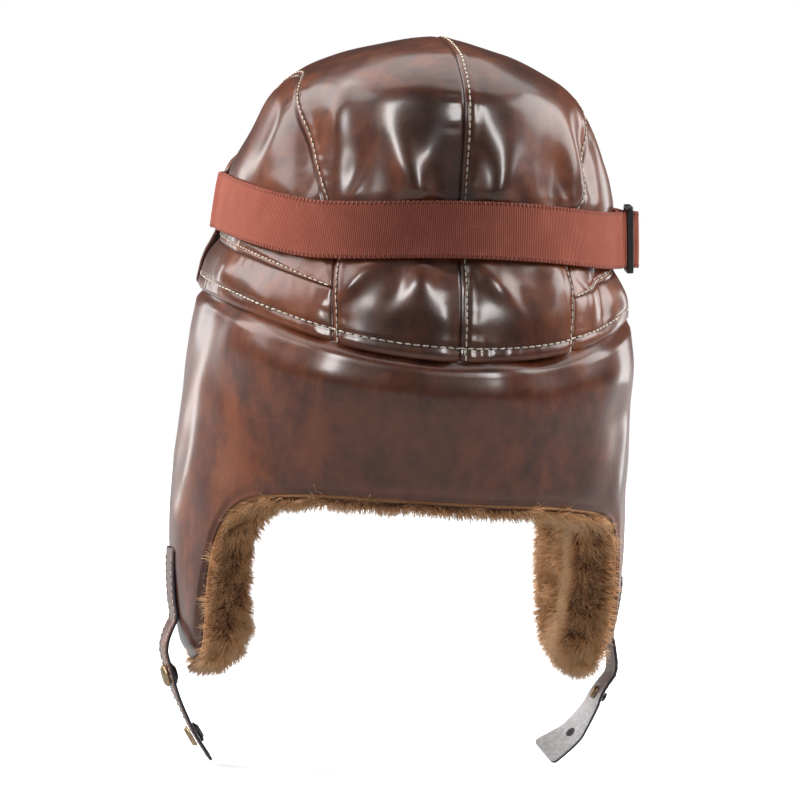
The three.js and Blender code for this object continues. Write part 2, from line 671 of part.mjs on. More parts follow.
// Depths of the fur from the skirt's outside and reach past its edge, from top to tip.
// down is the share of the skirt's height, past the share of the overhang.
const FUR_ROWS = [
  { down: 0.1, past: 0, outer: 0.04, inner: 0.4 },
  { down: 0.28, past: 0, outer: 0.02, inner: 0.7 },
  { down: 0.46, past: 0, outer: 0, inner: 0.88 },
  { down: 0.64, past: 0, outer: 0, inner: 1 },
  { down: 0.82, past: 0, outer: 0, inner: 1 },
  { down: 0.96, past: 0, outer: 0, inner: 0.97 },
  { down: 1, past: 0.35, outer: 0, inner: 0.9 },
  { down: 1, past: 1, outer: 0.25, inner: 0.62 },
];

// The pile that lines the skirt and curls past its edge, cut into locks.
function furLining() {
  const clear = LEATHER + 2.5 * PANEL_GAP;
  const sheet = (isInner) => FUR_ROWS.map((row, level) => (
    Array.from({ length: FUR_COLUMNS + 1 }, (_, column) => {
      const place = 2 * (column / FUR_COLUMNS) - 1;
      const flap = FUR_FLAP_DEPTH[place < 0 ? 'right' : 'left'];
      const onFlap = ease(skirtColumn(place).bottom, NECK_DEPTH, NECK_DEPTH * 1.2);
      const turns = Math.abs(place) * OUTLINE_LENGTH / LOCK_PITCH + level / 2;
      const lock = Math.cos(TAU * turns) * 0.5 + 0.5;
      const overhang = mix(FUR_OVERHANG, FUR_FLAP_OVERHANG, onFlap);
      const reach = overhang * row.past * (1 - LOCK_REACH + LOCK_REACH * lock);
      const [angle, depth] = row.past > 0 ? beyondEdge(place, reach) : skirtPlace(place, row.down);
      const pile = mix(FUR_DEPTH, flap, ease(depth, NECK_DEPTH * 0.9, NECK_DEPTH * 1.1));
      const share = isInner ? row.inner : row.outer;
      const relief = isInner ? LOCK_RELIEF * (lock - 1) * row.inner : 0;
      const offset = clear + share * pile + relief;
      return skirtPoint(angle, depth).addScaledVector(skirtOutward(angle, depth), -offset);
    })
  ));
  return solidBetween(sheet(false), sheet(true));
}

// How far the inside of the elastic stands off the crown: over the brow flap and the slider.
function strapLift(fromSlider, angle) {
  const overFlap = (LEATHER + PANEL_GAP + SEAM_DIP)
    * ease(Math.abs(degrees(angle)), BROW_FLAP_ANGLE - 9, BROW_FLAP_ANGLE - 1);
  const reach = SLIDER_LENGTH / 2;
  const layer = STRAP_THICKNESS + PANEL_GAP;
  const doubled = layer * (1 - ease(Math.abs(fromSlider), reach * DOUBLED_SHARE, reach * SINGLE_SHARE));
  const overBar = (SLIDER_THICKNESS + layer + PANEL_GAP + LOOP_SLACK)
    * (1 - ease(Math.abs(fromSlider), SLIDER_BAR / 2 + BAR_CLEAR, reach - SLIDER_BAR - END_BAR_CLEAR));
  return PANEL_GAP + overFlap + doubled + overBar;
}

// A place on the taut line that the elastic follows, lift out from the pressed crown.
function strapPoint(angle, down, lift) {
  const depth = strapDepth(angle) + down;
  const inward = STRAP_PRESS * STRAP_HOLD + STRAP_UPRIGHT * down;
  return crownBase(angle, alongAtDepth(angle, depth), lift - inward);
}

// The distance along the strap from the slider's middle, near it.
function alongStrap(angle) {
  const radius = strapPoint(radians(SLIDER_ANGLE), 0, 0);
  return turnBetween(angle, radians(SLIDER_ANGLE)) * Math.hypot(radius.x, radius.y);
}

// Angles of the strap's stations: close together at the slider, wide apart elsewhere.
function strapAngles() {
  const turn = radians(SLIDER_TURN);
  const centre = radians(SLIDER_ANGLE);
  const { near, far } = STRAP_STATIONS;
  const angles = [];
  for (let step = 0; step < near; step += 1) angles.push(centre - turn + 2 * turn * (step / near));
  for (let step = 0; step < far; step += 1) angles.push(centre + turn + (TAU - 2 * turn) * (step / far));
  return angles.map((angle) => turnBetween(angle, 0));
}

// A ribbon of elastic through the given angles, as wide as the strap.
function elasticRibbon(angles, closed, liftAt) {
  const halves = [-0.5, 0, 0.5];
  const sheet = (extra) => halves.map((half) => (
    angles.map((angle) => strapPoint(angle, half * STRAP_WIDTH, liftAt(angle) + extra))
  ));
  return solidBetween(sheet(STRAP_THICKNESS), sheet(0), closed);
}

function goggleStrap() {
  return elasticRibbon(strapAngles(), true, (angle) => strapLift(alongStrap(angle), angle));
}

// The strap's own end, lying doubled under the slider.
function strapEnd() {
  const radius = strapPoint(radians(SLIDER_ANGLE), 0, 0);
  const reach = STRAP_END_REACH / Math.hypot(radius.x, radius.y);
  const steps = STRAP_STATIONS.end;
  const angles = Array.from({ length: steps + 1 }, (_, step) => (
    radians(SLIDER_ANGLE) + reach * (2 * step / steps - 1)
  ));
  return elasticRibbon(angles, false, () => PANEL_GAP);
}

// A closed shape as a solid that can be cut, and back again.
function toSolid(geometry) {
  geometry.deleteAttribute('normal');
  geometry.deleteAttribute('uv');
  const merged = mergeVertices(geometry, FINE_WELD);
  const vertProperties = Float32Array.from(merged.getAttribute('position').array);
  const triVerts = Uint32Array.from(merged.getIndex().array);
  return new wasm.Manifold(new wasm.Mesh({ numProp: 3, vertProperties, triVerts }));
}

function toGeometry(solid) {
  const { vertProperties, triVerts } = solid.getMesh();
  const geometry = new THREE.BufferGeometry();
  geometry.setAttribute('position', new THREE.BufferAttribute(Float32Array.from(vertProperties), 3));
  geometry.setIndex(Array.from(triVerts));
  geometry.computeVertexNormals();
  return geometry;
}

// A flat frame with a middle bar, lying along the strap, its corners cut off.
function strapSlider() {
  const halfLength = SLIDER_LENGTH / 2;
  const halfHeight = SLIDER_HEIGHT / 2;
  const cut = SLIDER_RAIL;
  const outline = new THREE.Shape([
    [cut - halfLength, -halfHeight], [halfLength - cut, -halfHeight], [halfLength, cut - halfHeight],
    [halfLength, halfHeight - cut], [halfLength - cut, halfHeight], [cut - halfLength, halfHeight],
    [-halfLength, halfHeight - cut], [-halfLength, cut - halfHeight],
  ].map(([x, y]) => new THREE.Vector2(x, y)));
  const plate = toSolid(new THREE.ExtrudeGeometry(outline, { depth: SLIDER_THICKNESS, bevelEnabled: false }));
  const windowLength = (SLIDER_LENGTH - 3 * SLIDER_BAR) / 2;
  const windowShift = (windowLength + SLIDER_BAR) / 2;
  const window = (shift) => toSolid(
    new THREE.BoxGeometry(windowLength, SLIDER_HEIGHT - 2 * SLIDER_RAIL, SLIDER_THICKNESS * 3)
      .translate(shift, 0, 0),
  );
  return toGeometry(plate.subtract(window(windowShift)).subtract(window(-windowShift)));
}

// Lays the slider's plane on the doubled strap, its length along the strap.
function placeSlider(mesh) {
  const angle = radians(SLIDER_ANGLE);
  const down = strapPoint(angle, 1, 0).sub(strapPoint(angle, -1, 0)).normalize();
  const forward = strapPoint(angle + 0.02, 0, 0).sub(strapPoint(angle - 0.02, 0, 0)).normalize();
  const outward = new THREE.Vector3().crossVectors(forward, down).normalize();
  if (outward.x * Math.sin(angle) < 0) outward.negate();
  const upward = down.clone().negate();
  const alongFrame = new THREE.Vector3().crossVectors(upward, outward);
  mesh.quaternion.setFromRotationMatrix(new THREE.Matrix4().makeBasis(alongFrame, upward, outward));
  mesh.position.copy(strapPoint(angle, 0, 2 * STRAP_THICKNESS + 3 * PANEL_GAP + chordSag()));
}

// Half of how far the curved strap falls away under the slider's flat ends.
function chordSag() {
  const radius = strapPoint(radians(SLIDER_ANGLE), 0, 0);
  return (SLIDER_LENGTH / 2) ** 2 / (4 * Math.hypot(radius.x, radius.y));
}

// The line of a chin strap: stitched to the flap, then hanging free.
function chinStations(side) {
  const sign = side === 'left' ? 1 : -1;
  const angle = sign * radians(CHIN_ANGLE);
  const lift = PANEL_GAP + CHIN_THICKNESS / 2;
  const stations = [];
  const { stitched, free } = CHIN_STATIONS;
  for (let step = 0; step < stitched; step += 1) {
    const depth = mix(CHIN_TOP[side], CHIN_BOTTOM[side], step / (stitched - 1));
    const outward = skirtOutward(angle, depth);
    stations.push({ centre: skirtPoint(angle, depth).addScaledVector(outward, lift), turn: 0 });
  }
  const start = stations[stitched - 1].centre.clone();
  const hang = readTable(CHIN_HANG[side], 'down');
  const bottom = CHIN_HANG[side][CHIN_HANG[side].length - 1].down;
  for (let step = 1; step <= free; step += 1) {
    const down = bottom * step / free;
    const offset = new THREE.Vector3(sign * hang(down, 'out'), 0, -down).multiplyScalar(CHIN_LENGTH);
    stations.push({ centre: start.clone().add(offset), turn: sign * radians(hang(down, 'turn')) });
  }
  return stations;
}

// The strap's own directions at a station: down its length, across its width and outwards.
function chinFrame(stations, index, side) {
  const sign = side === 'left' ? 1 : -1;
  const before = stations[Math.max(index - 1, 0)].centre;
  const after = stations[Math.min(index + 1, stations.length - 1)].centre;
  const down = after.clone().sub(before).normalize();
  const across = new THREE.Vector3(0, 1, 0).applyAxisAngle(down, stations[index].turn);
  across.addScaledVector(down, -across.dot(down)).normalize();
  const outward = new THREE.Vector3().crossVectors(across, down).multiplyScalar(-sign).normalize();
  if (outward.x * sign < 0) outward.negate();
  return { down, across, outward };
}

function chinStrap(side) {
  const stations = chinStations(side);
  const last = stations.length - 1;
  const sheet = (offset) => stations.map((station, index) => {
    const { across, outward } = chinFrame(stations, index, side);
    const fromEnd = Math.min(index, last - index);
    const half = CHIN_WIDTH / 2 * (fromEnd === 0 ? CHIN_END : 1);
    return [-1, 0, 1].map((part) => (
      station.centre.clone().addScaledVector(across, part * half).addScaledVector(outward, offset)
    ));
  });
  return solidBetween(sheet(CHIN_THICKNESS / 2), sheet(-CHIN_THICKNESS / 2));
}

// A round fastener on the axis, flat on top, from its profile's shares of a radius and height.
function fastener(profile, radius, height) {
  const corners = profile.map((row) => new THREE.Vector2(row.radius * radius, row.height * height));
  const line = [new THREE.Vector2(0, 0), ...corners, new THREE.Vector2(0, height)];
  const lathe = new THREE.LatheGeometry(line, FASTENER_SIDES);
  lathe.rotateX(Math.PI / 2);
  lathe.deleteAttribute('normal');
  lathe.deleteAttribute('uv');
  return facingOut(lathe.getAttribute('position').array, inThrees(Array.from(lathe.getIndex().array)));
}

function inThrees(list) {
  return Array.from({ length: list.length / 3 }, (_, part) => list.slice(part * 3, part * 3 + 3));
}

const helmet = new THREE.Group();

function addPiece(name, geometry, material) {
  const mesh = new THREE.Mesh(geometry, material);
  mesh.name = name;
  helmet.add(mesh);
  return mesh;
}

// Seats a fastener on one face of a chin strap. station counts along the strap's length.
function addFastener(name, geometry, material, side, station, face) {
  const stations = chinStations(side);
  const { down, outward } = chinFrame(stations, station, side);
  const axis = outward.multiplyScalar(face);
  const mesh = addPiece(name, geometry, material);
  const width = new THREE.Vector3().crossVectors(down, axis).normalize();
  mesh.quaternion.setFromRotationMatrix(new THREE.Matrix4().makeBasis(width, axis.clone().cross(width), axis));
  mesh.position.copy(stations[station].centre).addScaledVector(axis, CHIN_THICKNESS / 2 + PANEL_GAP);
}

addPiece('crown_centre_left', crownCentre(1), LEATHER_BROWN);
addPiece('crown_centre_right', crownCentre(-1), LEATHER_BROWN);
addPiece('crown_side_upper_left', crownSideUpper(1), LEATHER_BROWN);
addPiece('crown_side_upper_right', crownSideUpper(-1), LEATHER_BROWN);
addPiece('crown_side_lower_left', crownSideLower(1), LEATHER_BROWN);
addPiece('crown_side_lower_right', crownSideLower(-1), LEATHER_BROWN);
addPiece('brow_flap', browFlap(), LEATHER_BROWN);
addPiece('neck_skirt', neckSkirt(), LEATHER_BROWN);
addPiece('fur_lining', furLining(), FUR_TAN);
addPiece('goggle_strap', goggleStrap(), ELASTIC_RUST);
addPiece('goggle_strap_end', strapEnd(), ELASTIC_RUST);
placeSlider(addPiece('strap_slider', strapSlider(), SLIDER_BLACK));
addPiece('chin_strap_left', chinStrap('left'), CHIN_LEATHER);
addPiece('chin_strap_right', chinStrap('right'), CHIN_LEATHER);
const snapCap = () => fastener(CAP_PROFILE, SNAP_RADIUS, SNAP_HEIGHT);
const snapSocket = () => fastener(SOCKET_PROFILE, SNAP_RADIUS, SNAP_HEIGHT);
addFastener('snap_cap_upper', snapCap(), SNAP_BRASS, 'left', UPPER_SNAP_STATION, 1);
addFastener('snap_socket_upper', snapSocket(), SNAP_DARK, 'left', UPPER_SNAP_STATION, -1);
addFastener('snap_cap_lower', snapCap(), SNAP_BRASS, 'left', LOWER_SNAP_STATION, 1);
addFastener('snap_socket_lower', snapSocket(), SNAP_DARK, 'left', LOWER_SNAP_STATION, -1);
addFastener('snap_stud', fastener(STUD_PROFILE, STUD_RADIUS, STUD_HEIGHT), SNAP_DARK, 'right', STUD_STATION, 1);
addFastener('snap_rivet', fastener(HEAD_PROFILE, RIVET_RADIUS, RIVET_HEIGHT), SNAP_BRASS, 'right', STUD_STATION, -1);
addFastener('eyelet_outer', fastener(HEAD_PROFILE, EYELET_RADIUS, EYELET_HEIGHT), SNAP_DARK, 'right', EYELET_STATION, 1);

export default helmet;
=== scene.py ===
"""The looks of a leather flying helmet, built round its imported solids.

Forms are worked out in millimetres, as in the part's own source, and become meshes in metres.
The head faces -Y, and the origin is the top of the hollow. Angles run round the head from the
back: 0 is the nape, 90 the left ear and 180 the brow. Depths are measured down from the top.
"""

from __future__ import annotations

import logging
import math
from collections.abc import Callable, Sequence
from dataclasses import dataclass, field
from enum import Enum

import bmesh
import bpy
import numpy as np
from mathutils import Matrix, Vector

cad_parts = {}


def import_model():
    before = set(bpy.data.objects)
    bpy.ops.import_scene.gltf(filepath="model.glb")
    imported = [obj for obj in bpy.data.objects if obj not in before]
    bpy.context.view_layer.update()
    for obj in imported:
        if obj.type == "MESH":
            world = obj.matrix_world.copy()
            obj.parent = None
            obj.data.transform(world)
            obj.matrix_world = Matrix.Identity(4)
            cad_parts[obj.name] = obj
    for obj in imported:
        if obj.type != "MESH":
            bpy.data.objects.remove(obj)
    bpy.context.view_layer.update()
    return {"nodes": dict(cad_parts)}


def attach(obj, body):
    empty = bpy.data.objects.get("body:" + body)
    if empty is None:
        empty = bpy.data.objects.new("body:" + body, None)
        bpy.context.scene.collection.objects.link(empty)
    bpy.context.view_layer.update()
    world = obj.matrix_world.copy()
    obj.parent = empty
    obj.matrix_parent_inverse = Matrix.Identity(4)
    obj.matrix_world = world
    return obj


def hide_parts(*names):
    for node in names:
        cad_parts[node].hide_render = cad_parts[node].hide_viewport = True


log = logging.getLogger("flying_helmet")

MM = 0.001
WELD = 0.02
FLAT_TURN = math.radians(3)
SHARP_TURN = math.radians(25)
DEPTH_HALVINGS = 22
CROSSING_HALVINGS = 30
Points = np.ndarray
Colour = tuple[float, float, float]


def bump(distance: Points, width: Points | float) -> Points:
    """A smooth hump: 1 in its middle, nothing a few widths away."""
    return np.exp(-((distance / width) ** 2))


def ease(value: Points, start: float, end: float) -> Points:
    """Rises smoothly from 0 at start to 1 at end."""
    share = np.clip((value - start) / (end - start), 0.0, 1.0)
    return share * share * (3.0 - 2.0 * share)


def turn_between(angle: Points, other: Points | float) -> Points:
    """The smallest turn between two angles, in radians."""
    return np.arctan2(np.sin(angle - other), np.cos(angle - other))


def unit(vectors: Points) -> Points:
    """Vectors of length 1 in the same directions."""
    length = np.linalg.norm(vectors, axis=-1, keepdims=True)
    return vectors / np.maximum(length, 1e-12)


def graded(length: float, fine: float, coarse: float, band: float) -> Points:
    """Shares from 0 to 1 that lie close together near both ends.

    Args:
        length: the real length that the shares cover, in millimetres.
        fine: step at the two ends.
        coarse: step in the middle.
        band: how far from an end the steps reach their full size.

    Returns:
        The shares, from 0 to 1.
    """
    half = [0.0]
    while half[-1] < length / 2:
        near = min(half[-1] / band, 1.0)
        half.append(half[-1] + fine + (coarse - fine) * near)
    steps = np.array(half) / half[-1] * 0.5
    return np.concatenate([steps, 1.0 - steps[-2::-1]])


class Curves:
    """Smooth curves through the rows of a table, along its first column."""

    def __init__(self, columns: Sequence[str], rows: Sequence[Sequence[float]], level: str = "") -> None:
        """Sets up the curves.

        Args:
            columns: names of the columns, the first being the one that the curves run along.
            rows: the table's rows.
            level: a column that starts without slope.
        """
        values = np.array(rows, float)
        self.keys = values[:, 0]
        self.values = {name: values[:, place] for place, name in enumerate(columns)}
        last = len(self.keys) - 1
        before = np.maximum(np.arange(last + 1) - 1, 0)
        after = np.minimum(np.arange(last + 1) + 1, last)
        span = self.keys[after] - self.keys[before]
        self.slopes = {name: (column[after] - column[before]) / span for name, column in self.values.items()}
        if level:
            self.slopes[level][0] = 0.0

    def read(self, at: Points | float, column: str) -> Points:
        """The value of a column at a place along the table.

        Args:
            at: where along the first column.
            column: which column is read.

        Returns:
            The values there.
        """
        place = np.clip(at, self.keys[0], self.keys[-1])
        high = np.clip(np.searchsorted(self.keys, place), 1, len(self.keys) - 1)
        low = high - 1
        span = self.keys[high] - self.keys[low]
        t = (place - self.keys[low]) / span
        values, slopes = self.values[column], self.slopes[column]
        rise = t * t * (3.0 - 2.0 * t)
        leave = t * (1.0 - t) ** 2 * span * slopes[low]
        arrive = t * t * (t - 1.0) * span * slopes[high]
        return values[low] + (values[high] - values[low]) * rise + leave + arrive


@dataclass(frozen=True)
class Fold:
    """One pucker of the crown or dent of the skirt.

    angle and spread are in degrees, depth and run are shares of the hem's or flap's depth, lean is
    how many degrees the fold drifts over its run, height is in millimetres, and power 4 instead of
    2 makes it a flat trough with steep walls.
    """

    angle: float
    spread: float
    depth: float
    run: float
    height: float
    lean: float = 0.0
    power: float = 2.0

    def rise(self, angle: Points, depth: Points) -> Points:
        """Height of the fold at angles in radians and shares of depth."""
        down = (depth - self.depth) / self.run
        turn = np.degrees(turn_between(angle, math.radians(self.angle))) - self.lean * down
        return self.height * np.exp(-np.abs(turn / self.spread) ** self.power) * bump(down, 1.0)


CROWN_SECTIONS = Curves(
    ("along", "depth", "side", "back", "front"),
    (
        (0, 0, 0, 0, 0),
        (0.17, 0.048, 0.292, 0.39, 0.3),
        (0.26, 0.09, 0.44, 0.53, 0.43),
        (0.375, 0.165, 0.617, 0.672, 0.58),
        (0.45, 0.242, 0.71, 0.735, 0.71),
        (0.57, 0.4, 0.79, 0.793, 0.83),
        (0.68, 0.551, 0.872, 0.835, 0.905),
        (0.78, 0.695, 0.912, 0.893, 0.947),
        (0.87, 0.82, 0.94, 0.948, 0.968),
        (1, 1, 0.982, 1, 0.98),
        (1.13, 1.18, 1, 1.02, 0.99),
    ),
    level="depth",
)

SKIRT_SECTIONS = Curves(
    ("depth", "side", "back", "front"),
    (
        (0.36, 0.978, 1, 0.98),
        (0.42, 0.986, 1, 0.975),
        (0.5, 1.006, 1.003, 0.94),
        (0.6, 1.03, 0.99, 0.86),
        (0.7, 1.045, 0.965, 0.755),
        (0.8, 1.052, 0.955, 0.665),
        (0.88, 1.04, 0.95, 0.61),
        (0.95, 1.005, 0.94, 0.58),
        (1, 0.955, 0.92, 0.56),
        (1.07, 0.9, 0.9, 0.54),
    ),
)

ARCH_SEAM = Curves(
    ("ahead", "half"),
    ((-0.24, 0.428), (0, 0.385), (0.24, 0.428), (0.42, 0.438), (0.65, 0.428), (0.87, 0.477), (1.1, 0.477)),
)

SKIRT_OUTLINE = Curves(
    ("index", "rim", "edge", "drop"),
    tuple(
        (index, *row)
        for index, row in enumerate(
            (
                (0, 0, 0),
                (12, 12, 0),
                (24, 25, 0),
                (36, 38, 0.015),
                (45, 48, 0.045),
                (51, 55, 0.11),
                (56, 60, 0.21),
                (60, 63.5, 0.34),
                (65, 66, 0.52),
                (70, 68, 0.72),
                (75, 71.5, 0.87),
                (81, 78, 0.965),
                (88, 87, 1),
                (95, 96, 0.985),
                (101, 104, 0.9),
                (106, 109, 0.74),
                (111, 112.5, 0.45),
                (115, 115, 0.1),
                (119, 118, -0.3),
                (123, 121.5, -0.68),
                (127, 126, -0.98),
            )
        )
    ),
)

STRAP_SAG = Curves(
    ("angle", "sag"),
    (
        (-180, 0), (-110, 1), (-75, 2.7), (-60, 3.4), (-46, 3.4), (-30, 2.3), (-15, 1.7), (0, 2.2), (12, 3.4),
        (22, 4.8), (32, 5.9), (40, 6.1), (50, 4.7), (62, 2.5), (75, 0.4), (90, -1.1), (110, -1.3), (150, -0.5),
        (180, 0),
    ),
)

CROWN_FOLDS = (
    Fold(1.5, 7.4, 0.5, 0.16, -4.6, power=4),
    Fold(14, 5, 0.45, 0.13, 3.0, lean=-5),
    Fold(-10.5, 4.5, 0.46, 0.13, 3.2, lean=2.5),
    Fold(40, 4, 0.29, 0.11, 2.0, lean=-2),
    Fold(30, 4, 0.46, 0.1, -1.6),
    Fold(-29, 5, 0.46, 0.12, -1.6),
    Fold(-38, 5.5, 0.42, 0.16, 2.8),
    Fold(48, 5, 0.42, 0.15, -2.2, lean=-3),
    Fold(-48, 4, 0.42, 0.15, -2.2, lean=3),
    Fold(64, 9, 0.4, 0.14, 2.2),
    Fold(-66, 9, 0.42, 0.13, 2.0),
    Fold(23, 4.5, 0.74, 0.08, 2.9, lean=4),
    Fold(9.5, 4, 0.74, 0.08, 2.6),
    Fold(-7.5, 4, 0.74, 0.08, 2.9, lean=-4),
    Fold(-26, 4.5, 0.74, 0.08, 2.6, lean=2),
    Fold(31, 3.5, 0.74, 0.07, 1.6),
    Fold(52, 6, 0.93, 0.06, 1.6),
    Fold(72, 7, 0.9, 0.07, 1.8),
    Fold(-45, 4, 0.86, 0.12, -2.4, lean=3),
    Fold(-60, 7, 0.9, 0.11, 2.0),
    Fold(8, 12, 0.86, 0.05, 1.2),
    Fold(-18, 12, 0.87, 0.05, 1.2),
)

CROWN_PLEATS = (
    Fold(29, 1.6, 0.52, 0.06, 0.7, lean=1.5),
    Fold(19, 1.4, 0.54, 0.05, -0.5, lean=1),
    Fold(-31, 1.6, 0.52, 0.06, 0.7, lean=-1.5),
    Fold(-35.5, 1.2, 0.54, 0.05, 0.6, lean=-1),
    Fold(-26, 1.4, 0.55, 0.05, -0.5),
    Fold(43, 1.8, 0.52, 0.06, -0.6, lean=2),
    Fold(27, 1.8, 0.83, 0.06, 0.8, lean=3),
    Fold(15, 2.2, 0.8, 0.06, -0.7, lean=2),
    Fold(-15, 2.2, 0.82, 0.06, -0.7, lean=-2),
    Fold(-30, 1.8, 0.8, 0.05, 0.7),
)

SKIRT_FOLDS = (
    Fold(30, 16, 0.56, 0.06, 1.2),
    Fold(-22, 12, 0.56, 0.05, 1.0),
    Fold(-8, 5, 0.6, 0.05, -0.7, lean=4),
    Fold(8, 6, 0.62, 0.05, 0.5, lean=-4),
    Fold(-30, 5, 0.68, 0.08, -0.6, lean=3),
    Fold(55, 8, 0.72, 0.12, 0.8),
    Fold(-52, 8, 0.74, 0.12, 0.8),
    Fold(40, 6, 0.66, 0.08, -0.5, lean=-3),
    Fold(75, 8, 0.62, 0.1, 0.8),
    Fold(-70, 6, 0.56, 0.1, -0.9, lean=2),
    Fold(95, 7, 0.74, 0.12, 0.7),
    Fold(-95, 7, 0.74, 0.12, 0.7),
)


@dataclass(frozen=True)
class HeadForm:
    """The helmet's outside as a surface, from the sizes that the solids also have.

    Lengths are in millimetres. The pairs say between which distances or shares of the depth the
    folds, pleats and dents come in or die out.
    """

    side_reach: float = 98.0
    back_reach: float = 116.0
    front_reach: float = 114.0
    squareness: float = 2.12
    top_shift: float = 18.0
    leather: float = 1.8
    gap: float = 0.4
    hem_deep: float = 118.0
    hem_drop: float = 24.0
    hem_rise: float = 8.0
    hem_curve: float = 9.0
    hem_tilt: float = 2.2
    side_strip: float = 24.0
    side_strip_tilt: float = 2.0
    hem_lap: float = 7.0
    tuck_out: float = 6.3
    skirt_swell: float = 0.3
    swell_down: float = 16.8
    swell_wide: float = 12.6
    neck_depth: float = 204.0
    flap_left: float = 287.0
    flap_right: float = 280.0
    seam_dip: float = 1.3
    seam_dip_width: float = 7.0
    strap_press: float = 2.4
    press_edge: float = 1.3
    press_skew: float = 1.6
    strap_deep: float = 82.5
    strap_front_rise: float = 6.0
    strap_width: float = 25.0
    folds_clear: tuple[float, float] = (-3.0, 5.0)
    folds_start: tuple[float, float] = (0.12, 0.28)
    folds_end: tuple[float, float] = (0.93, 1.0)
    pleats_clear: tuple[float, float] = (-1.0, 2.0)
    pleats_end: tuple[float, float] = (0.9, 0.97)
    dents_start: tuple[float, float] = (4.0, 16.0)
    dip_start: tuple[float, float] = (0.0, 0.3)
    edge_step: float = 0.004

    @property
    def plan_scale(self) -> float:
        """Millimetres for the radius of the crown's plan."""
        return self.hem_deep + self.side_reach / 2

    def hem_depth(self, angle: Points) -> Points:
        """Depth of the crown's hem at an angle."""
        to_back = np.abs(np.cos(angle / 2)) ** self.hem_curve
        to_front = np.abs(np.sin(angle / 2)) ** self.hem_curve
        return self.hem_deep + self.hem_drop * to_back - self.hem_rise * to_front + self.hem_tilt * np.sin(angle)

    def strap_depth(self, angle: Points) -> Points:
        """Depth of the elastic's middle at an angle."""
        rise = self.strap_front_rise * np.abs(np.sin(angle / 2)) ** self.hem_curve
        return self.strap_deep - rise + STRAP_SAG.read(np.degrees(turn_between(angle, 0.0)), "sag")

    def outline(
        self, angle: Points, shares: tuple[Points, Points, Points], centre: Points, depth: Points
    ) -> Points:
        """Points on the head's outline.

        Args:
            angle: angles from the back, in radians.
            shares: side, back and front as shares of the three reaches.
            centre: how far behind the head's axis the outline's middle lies.
            depth: depth below the crown's top.

        Returns:
            The points in millimetres, on a last axis of three.
        """
        side, back, front = shares
        across, lengthwise = np.sin(angle), np.cos(angle)
        reach = np.where(lengthwise >= 0, back * self.back_reach, front * self.front_reach)
        total = (np.abs(across) / (side * self.side_reach)) ** self.squareness
        total = total + (np.abs(lengthwise) / reach) ** self.squareness
        radius = total ** (-1.0 / self.squareness)
        return np.stack([radius * across, centre + radius * lengthwise, self.leather - depth], -1)

    def along_at_depth(self, angle: Points, depth: Points) -> Points:
        """Share of the way from the top to the hem at which a depth lies."""
        share = depth / self.hem_depth(angle)
        low = np.zeros_like(share)
        high = np.full_like(share, CROWN_SECTIONS.keys[-1])
        for _ in range(DEPTH_HALVINGS):
            middle = (low + high) / 2
            above = CROWN_SECTIONS.read(middle, "depth") < share
            low = np.where(above, middle, low)
            high = np.where(above, high, middle)
        return (low + high) / 2

    def crown_base(self, angle: Points, along: Points, lift: Points | float) -> Points:
        """The crown without its folds, pushed out level by lift."""
        share = np.maximum(along, 1e-4)
        depth = CROWN_SECTIONS.read(share, "depth") * self.hem_depth(angle)
        centre = self.top_shift * np.maximum(1.0 - share, 0.0) ** 2
        shares = tuple(CROWN_SECTIONS.read(share, name) for name in ("side", "back", "front"))
        point = self.outline(angle, shares, centre, depth)
        point[..., 0] += lift * np.sin(angle)
        point[..., 1] += lift * np.cos(angle)
        return point

    def press(self, angle: Points, depth: Points) -> Points:
        """How far the elastic draws the crown in at a depth."""
        away = (depth - self.strap_depth(angle)) / self.strap_width
        skew = np.maximum(1.0 + self.press_skew * away, 0.0)
        return self.strap_press * np.exp(-((away * self.press_edge) ** 4)) * skew

    def folds(self, angle: Points, depth: Points) -> Points:
        """Gathers of the crown: none at the hem or on top, and only the sunk ones under the strap."""
        share = depth / self.hem_depth(angle)
        from_strap = np.abs(depth - self.strap_depth(angle)) - self.strap_width / 2
        ends = ease(share, *self.folds_start) * (1.0 - ease(share, *self.folds_end))
        heights = [fold.rise(angle, share) for fold in CROWN_FOLDS]
        raised = sum(np.maximum(height, 0.0) for height in heights) * ease(from_strap, *self.folds_clear)
        sunk = sum(np.minimum(height, 0.0) for height in heights)
        near = ease(from_strap, *self.pleats_clear) * (1.0 - ease(share, *self.pleats_end))
        return ends * (raised + sunk) + near * sum(fold.rise(angle, share) for fold in CROWN_PLEATS)

    def side_seam_along(self, angle: Points) -> Points:
        """Share of the way down at which the level seam of the side panels runs."""
        strip = self.side_strip - self.side_strip_tilt * np.sin(angle)
        return self.along_at_depth(angle, self.hem_depth(angle) - strip)

    def dip(self, across: Points, ahead: Points) -> Points:
        """How far the leather is drawn in beside the seams."""
        along = np.hypot(across, ahead)
        half = ARCH_SEAM.read(np.abs(ahead), "half")
        from_centre = np.abs(across) * self.plan_scale
        from_arch = np.abs(np.abs(across) - half) * self.plan_scale
        from_side = np.abs(along - self.side_seam_along(np.arctan2(across, ahead))) * self.plan_scale
        width = self.seam_dip_width
        level = np.where(np.abs(across) > half, bump(from_side, width), 0.0)
        deepest = np.maximum(np.maximum(bump(from_centre, width), bump(from_arch, width)), level)
        return self.seam_dip * deepest * ease(along, *self.dip_start)

    def crown(self, across: Points, ahead: Points) -> Points:
        """The crown's outside, from places in its plan."""
        angle = np.arctan2(across, ahead)
        along = np.hypot(across, ahead)
        depth = CROWN_SECTIONS.read(along, "depth") * self.hem_depth(angle)
        lift = self.folds(angle, depth) - self.press(angle, depth) - self.dip(across, ahead)
        return self.crown_base(angle, along, lift)

